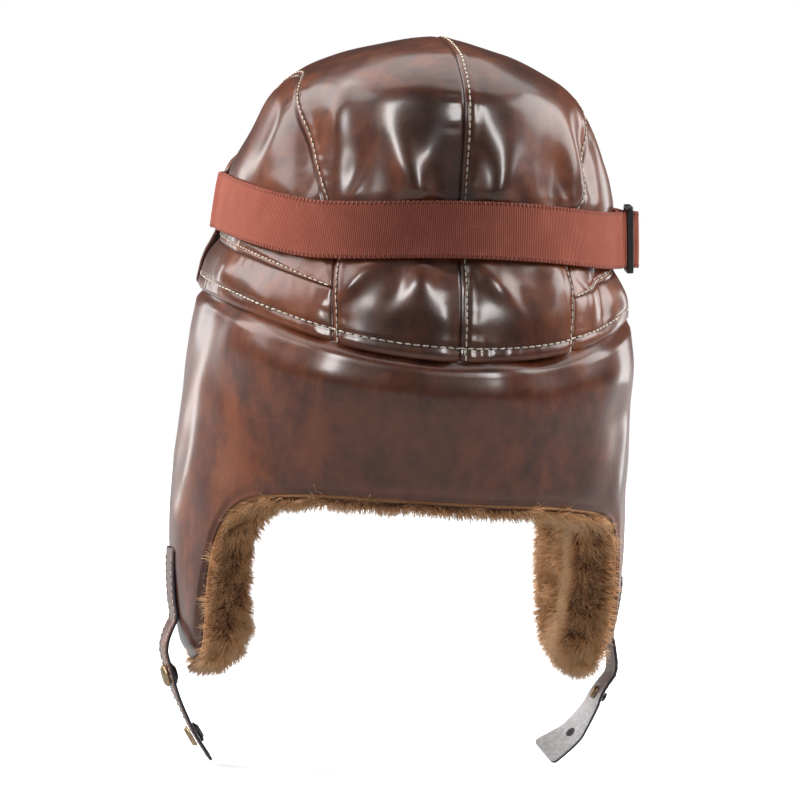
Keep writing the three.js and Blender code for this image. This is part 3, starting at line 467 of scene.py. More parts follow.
    def skirt(self, angle: Points, depth: Points, dents: bool = True) -> Points:
        """The skirt's outside: tucked in under the hem, swelling out below it.

        Args:
            angle: angles from the back, in radians.
            depth: depths below the crown's top.
            dents: whether the soft dents and swellings are laid on it.

        Returns:
            The points in millimetres.
        """
        share = depth / self.flap_left
        below = depth - self.hem_depth(angle)
        swell = self.skirt_swell * bump(below - self.swell_down, self.swell_wide)
        if dents:
            swell = swell + ease(below, *self.dents_start) * sum(fold.rise(angle, share) for fold in SKIRT_FOLDS)
        shares = tuple(SKIRT_SECTIONS.read(share, name) for name in ("side", "back", "front"))
        hanging = self.outline(angle, shares, 0.0, depth)
        hanging[..., 0] += swell * np.sin(angle)
        hanging[..., 1] += swell * np.cos(angle)
        inward = self.leather + self.gap + self.seam_dip
        tucked = self.crown_base(angle, self.along_at_depth(angle, depth), -inward)
        share_out = ease(below, self.gap, self.tuck_out)[..., None]
        return tucked + (hanging - tucked) * share_out

    def skirt_column(self, place: Points) -> tuple[Points, Points, Points, Points]:
        """The skirt's top and edge at a signed place along its outline.

        Args:
            place: from -1 at the brow's right end to 1 at its left end.

        Returns:
            Angle at the rim, angle at the edge, depth of the rim and depth of the edge.
        """
        index = np.abs(place) * SKIRT_OUTLINE.keys[-1]
        sign = np.where(place < 0, -1.0, 1.0)
        rim = np.radians(SKIRT_OUTLINE.read(index, "rim")) * sign
        edge = np.radians(SKIRT_OUTLINE.read(index, "edge")) * sign
        fall = np.where(place < 0, self.flap_right, self.flap_left) - self.neck_depth
        bottom = self.neck_depth + SKIRT_OUTLINE.read(index, "drop") * fall
        return rim, edge, self.hem_depth(rim) - self.hem_lap, bottom

    def skirt_place(self, place: Points, down: Points) -> tuple[Points, Points]:
        """Angle and depth of a place on the skirt, down being the share of its height."""
        rim, edge, top, bottom = self.skirt_column(place)
        return rim + (edge - rim) * down, top + (bottom - top) * down

    def beyond_edge(self, place: Points, overhang: Points) -> tuple[Points, Points]:
        """Angle and depth of a place past the skirt's edge, square to it."""
        _, edge_before, _, bottom_before = self.skirt_column(np.maximum(place - self.edge_step, -1.0))
        _, edge_after, _, bottom_after = self.skirt_column(np.minimum(place + self.edge_step, 1.0))
        _, edge, _, bottom = self.skirt_column(place)
        there = self.skirt(edge, bottom, dents=False)
        radius = np.hypot(there[..., 0], there[..., 1])
        run = unit(np.stack([radius * (edge_after - edge_before), bottom_after - bottom_before], -1))
        return edge - run[..., 1] * overhang / radius, bottom + run[..., 0] * overhang


HEAD_MIDDLE = np.array((0.0, 0.0, -59.0))


def grid_normals(points: Points) -> Points:
    """Directions of length 1 away from the head, at the corners of a grid of points."""
    normal = unit(np.cross(np.gradient(points, axis=0), np.gradient(points, axis=1)))
    outward = np.sum(normal * (points - HEAD_MIDDLE), -1)
    return -normal if np.median(outward) < 0 else normal


def run_lengths(points: Points, axis: int) -> Points:
    """Length along a grid's lines from their start to each point."""
    steps = np.linalg.norm(np.diff(points, axis=axis), axis=-1)
    start = np.zeros_like(np.take(steps, [0], axis=axis))
    return np.concatenate([start, np.cumsum(steps, axis=axis)], axis=axis)


def waves(points: Points, length: float, seed: int, count: int = 18) -> Points:
    """Soft irregular waves over points in space.

    Args:
        points: where they are read, in millimetres.
        length: typical distance between crests.
        seed: picks one pattern.
        count: how many plane waves are added.

    Returns:
        Values of about -1 to 1.
    """
    random = np.random.default_rng(seed)
    directions = unit(random.normal(size=(count, 3)))
    rates = 2 * math.pi / (length * random.uniform(0.7, 1.5, count))
    phases = random.uniform(0, 2 * math.pi, count)
    total = np.zeros(points.shape[:-1])
    for direction, rate, phase in zip(directions, rates, phases):
        total += np.sin(points @ direction * rate + phase)
    return total / math.sqrt(count)


def linked(name: str, data: bpy.types.ID) -> bpy.types.Object:
    """A new object of the scene that shows a mesh, a light or a camera."""
    made = bpy.data.objects.new(name, data)
    bpy.context.scene.collection.objects.link(made)
    return made


def mesh_object(name: str, points: Points, faces: Points) -> bpy.types.Object:
    """A smoothly shaded mesh object at the origin.

    Args:
        name: the piece's name.
        points: its corners, in millimetres.
        faces: the corners of each face.

    Returns:
        The new object, linked to the scene.
    """
    mesh = bpy.data.meshes.new(name)
    mesh.from_pydata((points.reshape(-1, 3) * MM).tolist(), [], faces.tolist())
    mesh.update()
    mesh.polygons.foreach_set("use_smooth", [True] * len(mesh.polygons))
    return linked(name, mesh)


def line_object(name: str, paths: Sequence[Points]) -> bpy.types.Object:
    """Loose edges along paths of points in millimetres."""
    points: list[Sequence[float]] = []
    edges: list[tuple[int, int]] = []
    for path in paths:
        first = len(points)
        points.extend((path * MM).tolist())
        edges.extend((first + step, first + step + 1) for step in range(len(path) - 1))
    mesh = bpy.data.meshes.new(name)
    mesh.from_pydata(points, edges, [])
    return linked(name, mesh)


def solid_object(name: str, shape: bmesh.types.BMesh) -> bpy.types.Object:
    """An object with the faces of an edited shape, which is freed."""
    mesh = bpy.data.meshes.new(name)
    shape.to_mesh(mesh)
    shape.free()
    return linked(name, mesh)


def sheet_faces(rows: int, columns: int, start: int = 0, flipped: bool = False, closed: bool = False) -> Points:
    """Faces of one sheet of a grid.

    Args:
        rows: rows of points.
        columns: columns of points.
        start: number of the sheet's first point.
        flipped: whether the faces look the other way.
        closed: whether the last column joins the first.

    Returns:
        The corners of each face.
    """
    row, column = np.meshgrid(np.arange(rows - 1), np.arange(columns if closed else columns - 1), indexing="ij")
    after = (column + 1) % columns
    here, below = row * columns, (row + 1) * columns
    corners = [here + column, here + after, below + after, below + column]
    quads = np.stack([corner.ravel() + start for corner in corners], -1)
    return quads[:, ::-1] if flipped else quads


def rim_faces(line: Points, total: int) -> Points:
    """Faces that join a line of one sheet's points to the other sheet, which starts at total."""
    here, after = line[:-1], line[1:]
    return np.stack([total + here, total + after, after, here], -1)


def shell_object(name: str, outer: Points, inner: Points, closed: bool = False) -> bpy.types.Object:
    """A closed piece between an outer and an inner sheet of points.

    Args:
        name: the piece's name.
        outer: rows of columns of points.
        inner: the same rows and columns on the other side.
        closed: whether the last column joins the first.

    Returns:
        The new object, its faces pointing outwards: the outer sheet's, the inner's, then the rims'.
    """
    rows, columns = outer.shape[:2]
    total = rows * columns
    number = np.arange(total).reshape(rows, columns)
    head, foot = number[0], number[-1]
    if closed:
        head, foot = np.append(head, head[0]), np.append(foot, foot[0])
    rims = [rim_faces(head, total), rim_faces(foot[::-1], total)]
    if not closed:
        rims += [rim_faces(number[::-1, 0], total), rim_faces(number[:, -1], total)]
    sheets = [sheet_faces(rows, columns, closed=closed), sheet_faces(rows, columns, total, True, closed)]
    quads = np.concatenate(sheets + rims)
    points = np.concatenate([outer.reshape(-1, 3), inner.reshape(-1, 3)])
    corners = points[quads]
    halves = np.cross(corners[:, 1], corners[:, 2]) + np.cross(corners[:, 2], corners[:, 3])
    if np.sum(corners[:, 0] * halves) < 0:
        quads = quads[:, ::-1]
    return mesh_object(name, points, quads)


def set_point_values(piece: bpy.types.Object, **values: Points) -> None:
    """Stores numbers for the points of a piece's outer sheet, by name, and 0 for its other points."""
    for name, sheet in values.items():
        padded = np.zeros(len(piece.data.vertices), np.float32)
        padded[: sheet.size] = sheet.ravel()
        piece.data.attributes.new(name, "FLOAT", "POINT").data.foreach_set("value", padded)


def set_uv(piece: bpy.types.Object, across: Points, along: Points) -> None:
    """Lays a UV map on a piece, from one pair of numbers for each point."""
    loops = np.zeros(len(piece.data.loops), np.int32)
    piece.data.loops.foreach_get("vertex_index", loops)
    pairs = np.stack([across.ravel()[loops], along.ravel()[loops]], -1)
    layer = piece.data.uv_layers.new(name="weave")
    layer.data.foreach_set("uv", pairs.astype(np.float32).ravel())


def dress(piece: bpy.types.Object, material: bpy.types.Material, slot: str, *nodes: str) -> bpy.types.Object:
    """Gives a finished piece its material and body, and hides the solids that it stands for.

    Args:
        piece: the piece, its mesh final.
        material: its material.
        slot: not used.
        nodes: the solids that it replaces.

    Returns:
        The same piece.
    """
    piece.data.materials.clear()
    piece.data.materials.append(material)
    return settle(piece, slot, *nodes)


def settle(piece: bpy.types.Object, slot: str, *nodes: str) -> bpy.types.Object:
    """Seats a piece on its body and hides the solids that it stands for."""
    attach(piece, "root")
    if nodes:
        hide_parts(*nodes)
    triangles = sum(len(face.vertices) - 2 for face in piece.data.polygons)
    log.info("%s: %d triangles", piece.name, triangles)
    return piece


class Sock:
    """One output socket of a tree, with the usual signs for its maths."""

    def __init__(self, nodes: Nodes, socket: bpy.types.NodeSocket) -> None:
        """Wraps a socket of the tree that nodes builds."""
        self.nodes = nodes
        self.socket = socket

    def other(self, name: str) -> Sock:
        """Another output of the same node."""
        return Sock(self.nodes, self.socket.node.outputs[name])

    def __add__(self, other: Sock | float) -> Sock:
        """Sum of two values."""
        return self.nodes.math("ADD", self, other)

    def __sub__(self, other: Sock | float) -> Sock:
        """Difference of two values."""
        return self.nodes.math("SUBTRACT", self, other)

    def __rsub__(self, other: Sock | float) -> Sock:
        """Difference of two values."""
        return self.nodes.math("SUBTRACT", other, self)

    def __mul__(self, other: Sock | float) -> Sock:
        """Product of two values."""
        return self.nodes.math("MULTIPLY", self, other)

    def __truediv__(self, other: Sock | float) -> Sock:
        """Quotient of two values."""
        return self.nodes.math("DIVIDE", self, other)


Input = Sock | float | str | Colour
Inputs = dict[str | int, Input]


class Nodes:
    """Adds nodes to one tree and links them."""

    def __init__(self, tree: bpy.types.NodeTree) -> None:
        """Starts on a tree of a material, of the world or of Geometry Nodes."""
        self.tree = tree

    def feed(self, socket: bpy.types.NodeSocket, value: Input) -> None:
        """Links a socket to a value, or sets the number, name or colour that it holds."""
        if isinstance(value, Sock):
            self.tree.links.new(value.socket, socket)
        elif isinstance(value, tuple) and socket.type == "RGBA":
            socket.default_value = (*value, 1.0)
        else:
            socket.default_value = value

    def node(self, kind: str, values: Inputs | None = None, out: str | int = 0, **settings: object) -> Sock:
        """Adds one node.

        Args:
            kind: the node's type.
            values: values or links of its input sockets, by name or place.
            out: which of its outputs is wanted.
            settings: its properties, set before its sockets are fed.

        Returns:
            That output.
        """
        made = self.tree.nodes.new(kind)
        for key, setting in settings.items():
            setattr(made, key, setting)
        for key, value in (values or {}).items():
            self.feed(made.inputs[key], value)
        return Sock(self, made.outputs[out])

    def math(self, operation: str, first: Sock | float, second: Sock | float = 0.0) -> Sock:
        """Adds one Math node."""
        return self.node("ShaderNodeMath", {0: first, 1: second}, operation=operation)


class Shade(Nodes):
    """Builds one material's nodes."""

    def __init__(self, name: str) -> None:
        """Makes an empty material with its output and main shader."""
        self.material = bpy.data.materials.new(name)
        self.material.use_nodes = True
        super().__init__(self.material.node_tree)
        self.tree.nodes.clear()
        out = self.tree.nodes.new("ShaderNodeOutputMaterial")
        self.body = self.tree.nodes.new("ShaderNodeBsdfPrincipled")
        self.tree.links.new(self.body.outputs[0], out.inputs["Surface"])

    def place(self, scale: tuple[float, float, float] = (1.0, 1.0, 1.0)) -> Sock:
        """Object coordinates, in metres times scale."""
        where = self.node("ShaderNodeTexCoord", out="Object")
        return self.node("ShaderNodeMapping", {"Vector": where, "Scale": scale})

    def attribute(self, name: str) -> Sock:
        """A number stored on the mesh."""
        return self.node("ShaderNodeAttribute", out="Fac", attribute_name=name)

    def noise(
        self, where: Sock, scale: float, detail: float = 3.0, rough: float = 0.5, twist: float = 0.0
    ) -> Sock:
        """Noise between 0 and 1."""
        values = {"Vector": where, "Scale": scale, "Detail": detail, "Roughness": rough, "Distortion": twist}
        return self.node("ShaderNodeTexNoise", values)

    def band(self, value: Sock, low: float, high: float) -> Sock:
        """0 below low, 1 above high and smooth between."""
        values = {"Value": value, 1: low, 2: high, 3: 0.0, 4: 1.0}
        return self.node("ShaderNodeMapRange", values, interpolation_type="SMOOTHSTEP")

    def swing(self, turns: Sock) -> Sock:
        """A sine between 0 and 1 that repeats at each whole number of turns."""
        return self.math("SINE", turns * math.tau) * 0.5 + 0.5

    def blend(self, share: Input, first: Input, second: Input) -> Sock:
        """A colour between two colours."""
        return self.node("ShaderNodeMix", {0: share, 6: first, 7: second}, 2, data_type="RGBA")

    def relief(self, height: Sock, distance: float, strength: float, under: Sock | None = None) -> Sock:
        """A bumped normal from heights between 0 and 1, distance in metres."""
        values: Inputs = {"Height": height, "Distance": distance, "Strength": strength}
        if under is not None:
            values["Normal"] = under
        return self.node("ShaderNodeBump", values)

    def finish(self, **values: Input) -> bpy.types.Material:
        """Feeds the main shader's sockets, _ standing for a space in their names."""
        for key, value in values.items():
            self.feed(self.body.inputs[key.replace("_", " ")], value)
        return self.material


@dataclass(frozen=True)
class LeatherFinish:
    """Glossy antiqued leather with a mottled brown glaze, a fine grain and painted shade along its seams."""

    name: str = "antiqued_leather"
    dark: Colour = (0.05, 0.0125, 0.006)
    middle: Colour = (0.16, 0.04, 0.013)
    warm: Colour = (0.26, 0.072, 0.022)
    roughness: float = 0.36
    roughness_spread: float = 0.14
    coat: float = 0.8
    coat_roughness: float = 0.19
    mottle: float = 13.0
    streak: float = 41.6
    fleck: float = 120.0
    crease: float = 168.0
    grain: float = 1500.0
    crease_height: float = 0.00012
    grain_height: float = 0.00004
    glow_share: float = 0.45
    wear_share: float = 0.55
    valley_share: float = 0.75

    def material(self) -> bpy.types.Material:
        """The finished material."""
        shade = Shade(self.name)
        where = shade.place()
        clouds = shade.noise(where, self.mottle, 4.0, 0.6, 0.4)
        flecks = shade.noise(where, self.fleck, 4.0, 0.65)
        streaks = shade.noise(shade.place((1.0, 1.0, 0.35)), self.streak, 3.0, 0.55, 0.8)
        age = shade.band(clouds * 0.5 + streaks * 0.25 + flecks * 0.25, 0.36, 0.6)
        glow = shade.band(clouds * 0.4 + streaks * 0.35 + flecks * 0.25, 0.48, 0.64)
        colour = shade.blend(age, self.dark, self.middle)
        colour = shade.blend(glow * self.glow_share, colour, self.warm)
        colour = shade.blend(shade.attribute("edge_wear") * self.wear_share, colour, self.warm)
        # Painted shade: darker in the seams' dips and grooves, from the depth stored on the panels.
        colour = shade.blend(shade.attribute("valley") * self.valley_share, colour, self.dark)
        normal = shade.relief(shade.noise(where, self.crease, 3.0, 0.6), self.crease_height, 0.35)
        normal = shade.relief(shade.noise(where, self.grain, 2.0), self.grain_height, 0.45, normal)
        return shade.finish(
            Base_Color=colour,
            Roughness=flecks * self.roughness_spread + (self.roughness - self.roughness_spread / 2),
            Normal=normal,
            Coat_Weight=self.coat,
            Coat_Roughness=self.coat_roughness,
            Coat_IOR=1.5,
            Specular_IOR_Level=0.35,
        )


@dataclass(frozen=True)
class FurFinish:
    """Tan pile: darker at its roots and inside, pale at its tips, with painted shade in patches between its locks.
    """

    name: str = "tan_pile"
    root: Colour = (0.42, 0.2, 0.085)
    middle: Colour = (0.88, 0.48, 0.22)
    tip: Colour = (0.97, 0.63, 0.33)
    clump: float = 190.0

    def material(self) -> bpy.types.Material:
        """The finished material."""
        shade = Shade(self.name)
        tip, own = shade.attribute("tip"), shade.attribute("shade")
        clump = shade.noise(shade.place(), self.clump, 3.0, 0.6)
        lower = shade.blend(shade.band(tip, 0.0, 0.55), self.root, self.middle)
        colour = shade.blend(shade.band(tip, 0.35, 1.0) * (own * 0.5 + 0.5), lower, self.tip)
        # Painted shade: patches between the locks darkened towards the root colour.
        colour = shade.blend(shade.band(clump, 0.55, 0.35) * 0.5, colour, self.root)
        return shade.finish(
            Base_Color=colour, Roughness=0.62, Sheen_Weight=0.25, Sheen_Roughness=0.5, Specular_IOR_Level=0.25
        )


@dataclass(frozen=True)
class ElasticFinish:
    """Ribbed rust-red webbing with picot edges, with painted shade in its ribs' troughs and painted highlights on
    raised threads. Its UV map counts millimetres, as do its sizes.
    """

    name: str = "rust_webbing"
    dark: Colour = (0.12, 0.022, 0.012)
    middle: Colour = (0.44, 0.088, 0.046)
    lit: Colour = (0.62, 0.16, 0.09)
    slit: Colour = (0.03, 0.006, 0.005)
    tint: Colour = (1.0, 0.62, 0.5)
    rib: float = 0.9
    pick: float = 0.55
    picot: float = 2.1
    width: float = 25.0
    relief: float = 0.00035

    def material(self) -> bpy.types.Material:
        """The finished material."""
        shade = Shade(self.name)
        across = shade.node("ShaderNodeSeparateXYZ", {0: shade.node("ShaderNodeUVMap", uv_map="weave")})
        along = across.other("Y")
        wobble = shade.noise(shade.place(), 700.0, 2.0) - 0.5
        rib = shade.swing(along / self.rib + wobble * 0.35)
        pick = shade.swing(across / self.pick + shade.math("FLOOR", along / self.rib * 2.0) * 0.5)
        from_edge = self.width / 2 - shade.math("ABSOLUTE", across)
        border = shade.band(from_edge, 1.9, 1.1)
        loops = shade.swing(along / self.picot)
        slit = shade.band(from_edge, 0.5, 0.9) * shade.band(from_edge, 1.7, 1.3) * shade.band(loops, 0.45, 0.7)
        thread = rib * 0.6 + pick * 0.4
        blotch = shade.noise(shade.place(), 90.0)
        # Painted shade and painted highlight: the weave's troughs take the dark colour, and raised threads in
        # blotches the lit one.
        colour = shade.blend(shade.band(thread, 0.15, 0.75), self.dark, self.middle)
        colour = shade.blend(shade.band(thread * blotch, 0.25, 0.6) * 0.8, colour, self.lit)
        colour = shade.blend(border * 0.3, colour, self.dark)
        # Painted shade in the slits between the picot loops.
        colour = shade.blend(slit * 0.5, colour, self.slit)
        height = (rib * 0.65 + pick * 0.35) * (1.0 - border) + loops * border
        return shade.finish(
            Base_Color=colour,
            Roughness=0.78,
            Normal=shade.relief(height, self.relief, 0.8),
            Sheen_Weight=0.35,
            Sheen_Roughness=0.45,
            Sheen_Tint=self.tint,
            Specular_IOR_Level=0.3,
        )


@dataclass(frozen=True)
class PlainFinish:
    """A smooth finish with slight wear: moulded plastic, thread, metal, painted edge or the near-black painted
    shade of holes.
    """

    name: str
    colour: Colour
    second: Colour
    roughness: float
    metallic: float = 0.0
    scale: float = 300.0
    relief: float = 0.00003
    coat: float = 0.0

    def material(self) -> bpy.types.Material:
        """The finished material."""
        shade = Shade(self.name)
        where = shade.place()
        patches = shade.noise(where, self.scale, 4.0, 0.6)
        fine = shade.noise(where, self.scale * 5.0, 2.0)
        return shade.finish(
            Base_Color=shade.blend(shade.band(patches, 0.35, 0.68), self.colour, self.second),
            Roughness=patches * 0.2 + (self.roughness - 0.1),
            Metallic=self.metallic,
            Coat_Weight=self.coat,
            Coat_Roughness=0.2,
            Normal=shade.relief(fine, self.relief, 0.6),
        )


THREAD = PlainFinish("cream_thread", (0.8, 0.7, 0.58), (0.66, 0.53, 0.4), 0.5, scale=900.0)
# Near-black needle holes and eyelet hole: painted shade inside the holes.
NEEDLE_HOLE_SHADE = PlainFinish("needle_hole_shade", (0.008, 0.004, 0.003), (0.02, 0.01, 0.007), 0.7)
SLIDER_PLASTIC = PlainFinish("black_slider", (0.006, 0.0065, 0.008), (0.012, 0.013, 0.016), 0.3, coat=0.3)
BRONZE = PlainFinish("bronze_snap", (0.36, 0.24, 0.13), (0.6, 0.46, 0.29), 0.32, metallic=1.0)
DARK_METAL = PlainFinish("dark_snap", (0.02, 0.02, 0.024), (0.08, 0.075, 0.07), 0.36, metallic=0.9)
PAINTED_EDGE = PlainFinish("painted_edge", (0.012, 0.013, 0.03), (0.03, 0.034, 0.062), 0.35, coat=0.4)
STRAP_BACK = PlainFinish("strap_back", (0.5, 0.48, 0.49), (0.68, 0.66, 0.67), 0.55, scale=500.0, relief=0.00006)


class GeometryTree(Nodes):
    """Builds one Geometry Nodes tree with named inputs."""

    def __init__(self, name: str, inputs: dict[str, str]) -> None:
        """Makes a tree with a geometry input and output.

        Args:
            name: the tree's name.
            inputs: the kind of each further input, such as Float, by its name.
        """
        super().__init__(bpy.data.node_groups.new(name, "GeometryNodeTree"))
        for way in ("INPUT", "OUTPUT"):
            self.tree.interface.new_socket("Geometry", in_out=way, socket_type="NodeSocketGeometry")
        for title, kind in inputs.items():
            self.tree.interface.new_socket(title, in_out="INPUT", socket_type=f"NodeSocket{kind}")
        self.start = self.tree.nodes.new("NodeGroupInput")
        self.end = self.tree.nodes.new("NodeGroupOutput")

    def given(self, name: str) -> Sock:
        """The group input of that name."""
        return Sock(self, self.start.outputs[name])

    def scatter(self, low: Colour, high: Colour, seed: int) -> Sock:
        """A random vector between two vectors for each element."""
        return self.node("FunctionNodeRandomValue", {0: low, 1: high, "Seed": seed}, data_type="FLOAT_VECTOR")

    def chance(self, high: float, seed: int) -> Sock:
        """A random number from 0 to high for each element."""
        return self.node("FunctionNodeRandomValue", {2: 0.0, 3: high, "Seed": seed}, 1, data_type="FLOAT")

    def vector(self, operation: str, values: Inputs) -> Sock:
        """Adds one Vector Math node."""
        return self.node("ShaderNodeVectorMath", values, operation=operation)

    def turned(self, rotation: Sock, angles: Sock) -> Sock:
        """A rotation turned on about its own axes."""
        own = self.node("FunctionNodeEulerToRotation", {0: angles})
        return self.node("FunctionNodeRotateRotation", {0: rotation, 1: own}, rotation_space="LOCAL")

    def placed(self, points: Sock, instance: Sock, values: Inputs | None = None) -> Sock:
        """Copies of an instance on points, values being their rotation and scale."""
        values = {"Points": points, "Instance": instance, **(values or {})}
        return self.node("GeometryNodeInstanceOnPoints", values)

    def painted(self, geometry: Sock, material: str) -> Sock:
        """Geometry with the material that an input holds."""
        return self.node("GeometryNodeSetMaterial", {"Geometry": geometry, "Material": self.given(material)})

    def real(self, geometry: Sock) -> Sock:
        """Copies made into plain faces."""
        return self.node("GeometryNodeRealizeInstances", {0: geometry})

    def close(self, geometry: Sock) -> bpy.types.NodeTree:
        """Shades the result smoothly and hands it out."""
        self.feed(self.end.inputs[0], self.node("GeometryNodeSetShadeSmooth", {0: geometry}))
        return self.tree


def grown(
    source: bpy.types.Object, tree: bpy.types.NodeTree, values: dict[str, object], name: str
) -> bpy.types.Object:
    """Runs a Geometry Nodes tree on an object and keeps the result as a plain mesh.

    Args:
        source: the object that the tree starts from, which is removed.
        tree: the tree.
        values: its inputs, by name.
        name: the new piece's name.

    Returns:
        The new piece at the origin.
    """
    modifier = source.modifiers.new("grow", "NODES")
    modifier.node_group = tree
    for item in tree.interface.items_tree:
        if item.in_out == "INPUT" and item.name in values:
            modifier[item.identifier] = values[item.name]
    bpy.context.view_layer.update()
    evaluated = source.evaluated_get(bpy.context.evaluated_depsgraph_get())
    mesh = bpy.data.meshes.new_from_object(evaluated)
    mesh.name = name
    bpy.data.objects.remove(source)
    return linked(name, mesh)


@dataclass(frozen=True)
class Sewing:
    """Stitches along lines, made by Geometry Nodes. Sizes in millimetres."""

    pitch: float = 3.2
    length: float = 3.0
    thread: float = 0.72

    @staticmethod
    def tree() -> bpy.types.NodeTree:
        """The tree: a grain-shaped stitch at each step of the line and, between, a needle hole as a near-black pit
        of painted shade.
        """
        nodes = GeometryTree("sewing", {
            "Pitch": "Float", "Length": "Float", "Thread": "Float", "Thread Material": "Material",
            "Hole Material": "Material",
        })
        pitch, radius = nodes.given("Pitch"), nodes.given("Thread") * 0.5
        curve = nodes.node("GeometryNodeMeshToCurve", {0: nodes.given("Geometry")})
        even = nodes.node("GeometryNodeResampleCurve", {"Curve": curve, "Length": pitch}, mode="LENGTH")
        spots = nodes.node("GeometryNodeCurveToPoints", {"Curve": even}, "Points", mode="EVALUATED")
        grain = nodes.node("GeometryNodeMeshUVSphere", {"Segments": 6, "Rings": 5, "Radius": 1.0})
        sizes = nodes.node("ShaderNodeCombineXYZ", {0: radius, 1: radius, 2: nodes.given("Length") * 0.5})
        stitch = nodes.node("GeometryNodeTransform", {"Geometry": grain, "Scale": sizes})
        lean = nodes.scatter((-0.09, -0.09, 0.0), (0.09, 0.09, 0.0), 5)
        grow = nodes.scatter((0.9, 0.9, 0.88), (1.12, 1.12, 1.06), 9)
        turned = nodes.turned(spots.other("Rotation"), lean)
        sewn = nodes.painted(nodes.placed(spots, stitch, {"Rotation": turned, "Scale": grow}), "Thread Material")
        ahead = nodes.vector("SCALE", {0: spots.other("Tangent"), "Scale": pitch * 0.5})
        between = nodes.node("GeometryNodeSetPosition", {"Geometry": spots, "Offset": ahead})
        pit = nodes.node("GeometryNodeMeshIcoSphere", {"Radius": radius, "Subdivisions": 1})
        holes = nodes.painted(nodes.placed(between, pit), "Hole Material")
        both = nodes.node("GeometryNodeJoinGeometry", {0: holes})
        nodes.feed(both.socket.node.inputs[0], sewn)
        return nodes.close(nodes.real(both))

    def sew(
        self, name: str, paths: Sequence[Points], tree: bpy.types.NodeTree, thread: bpy.types.Material,
        hole: bpy.types.Material,
    ) -> bpy.types.Object:
        """Stitches along paths on the leather.

        Args:
            name: the new piece's name.
            paths: points in millimetres along each line.
            tree: the sewing tree.
            thread: the thread's material.
            hole: the needle holes' material, near-black as painted shade.

        Returns:
            The piece, seated on the root body.
        """
        values = {
            "Pitch": self.pitch * MM,
            "Length": self.length * MM,
            "Thread": self.thread * MM,
            "Thread Material": thread,
            "Hole Material": hole,
        }
        return settle(grown(line_object(name + "_lines", paths), tree, values, name), "")


class SeamRole(Enum):
    """What happens at one edge of a leather panel."""

    PLAIN = "left as it is"
    TUCKED = "turned under beside a seam"
    TOPSTITCHED = "lies over the seam's allowance and is stitched through it"
    HEM = "rolled hem with a stitch line"


@dataclass(frozen=True)
class SeamProfile:
    """How the leather rises and dips near an edge. Sizes in millimetres."""

    tuck: float = 0.6
    tuck_width: float = 0.8
    allowance: float = 0.35
    allowance_width: float = 5.4
    allowance_slope: float = 1.2
    stitch_in: float = 2.3
    groove: float = 0.3
    groove_width: float = 0.8
    hem_roll: float = 1.3
    hem_roll_width: float = 1.0
    hem_lift: float = 0.3
    hem_slope: tuple[float, float] = (-0.6, 3.0)
    hem_stitch: float = 6.0
    hem_groove: float = 0.6
    hem_groove_width: float = 1.1
    pucker: float = 0.13
    pucker_in: float = 4.5
    pucker_width: float = 4.0
    pucker_pitches: tuple[float, float] = (7.2, 4.7)

    def relief(self, role: SeamRole, away: Points) -> Points:
        """Height above the plain panel at a distance from an edge.

        Args:
            role: what happens at that edge.
            away: distances from it.

        Returns:
            Heights in millimetres.
        """
        if role is SeamRole.PLAIN:
            return np.zeros_like(away)
        if role is SeamRole.HEM:
            low, high = self.hem_slope
            raised = self.hem_lift * (1.0 - ease(away, self.hem_stitch + low, self.hem_stitch + high))
            groove = self.hem_groove * bump(away - self.hem_stitch, self.hem_groove_width)
            return raised - self.hem_roll * bump(away, self.hem_roll_width) - groove
        tuck = -self.tuck * bump(away, self.tuck_width)
        if role is SeamRole.TUCKED:
            return tuck
        low, high = self.allowance_width - self.allowance_slope, self.allowance_width + self.allowance_slope
        groove = self.groove * bump(away - self.stitch_in, self.groove_width)
        return tuck + self.allowance * (1.0 - ease(away, low, high)) - groove

    def worn(self, role: SeamRole, away: Points) -> Points:
        """How far the glaze is rubbed through near an edge, from 0 to 1."""
        shares = {SeamRole.HEM: (0.6, 1.0), SeamRole.TOPSTITCHED: (0.8, 0.7)}
        most, width = shares.get(role, (0.0, 1.0))
        return most * bump(away - 1.0, width)

    def sunk(self, role: SeamRole, away: Points) -> Points:
        """How deep in a seam's shade a place lies, from 0 to 1."""
        if role is SeamRole.PLAIN:
            return np.zeros_like(away)
        if role is SeamRole.HEM:
            return 0.8 * bump(away - self.hem_stitch, 0.9)
        groove = 0.6 * bump(away - self.stitch_in, 0.5) if role is SeamRole.TOPSTITCHED else 0.0
        return np.maximum(bump(away, self.tuck_width), groove)

    def puckers(self, run: Points, away: Points) -> Points:
        """Fine puckers that the stitches pull into the leather, run being the way along the seam."""
        first, second = (run * (2 * math.pi / pitch) for pitch in self.pucker_pitches)
        pull = np.sin(first) + 0.6 * np.sin(second + 1.3)
        return self.pucker * pull * bump(away - self.pucker_in, self.pucker_width)


PROFILE = SeamProfile()


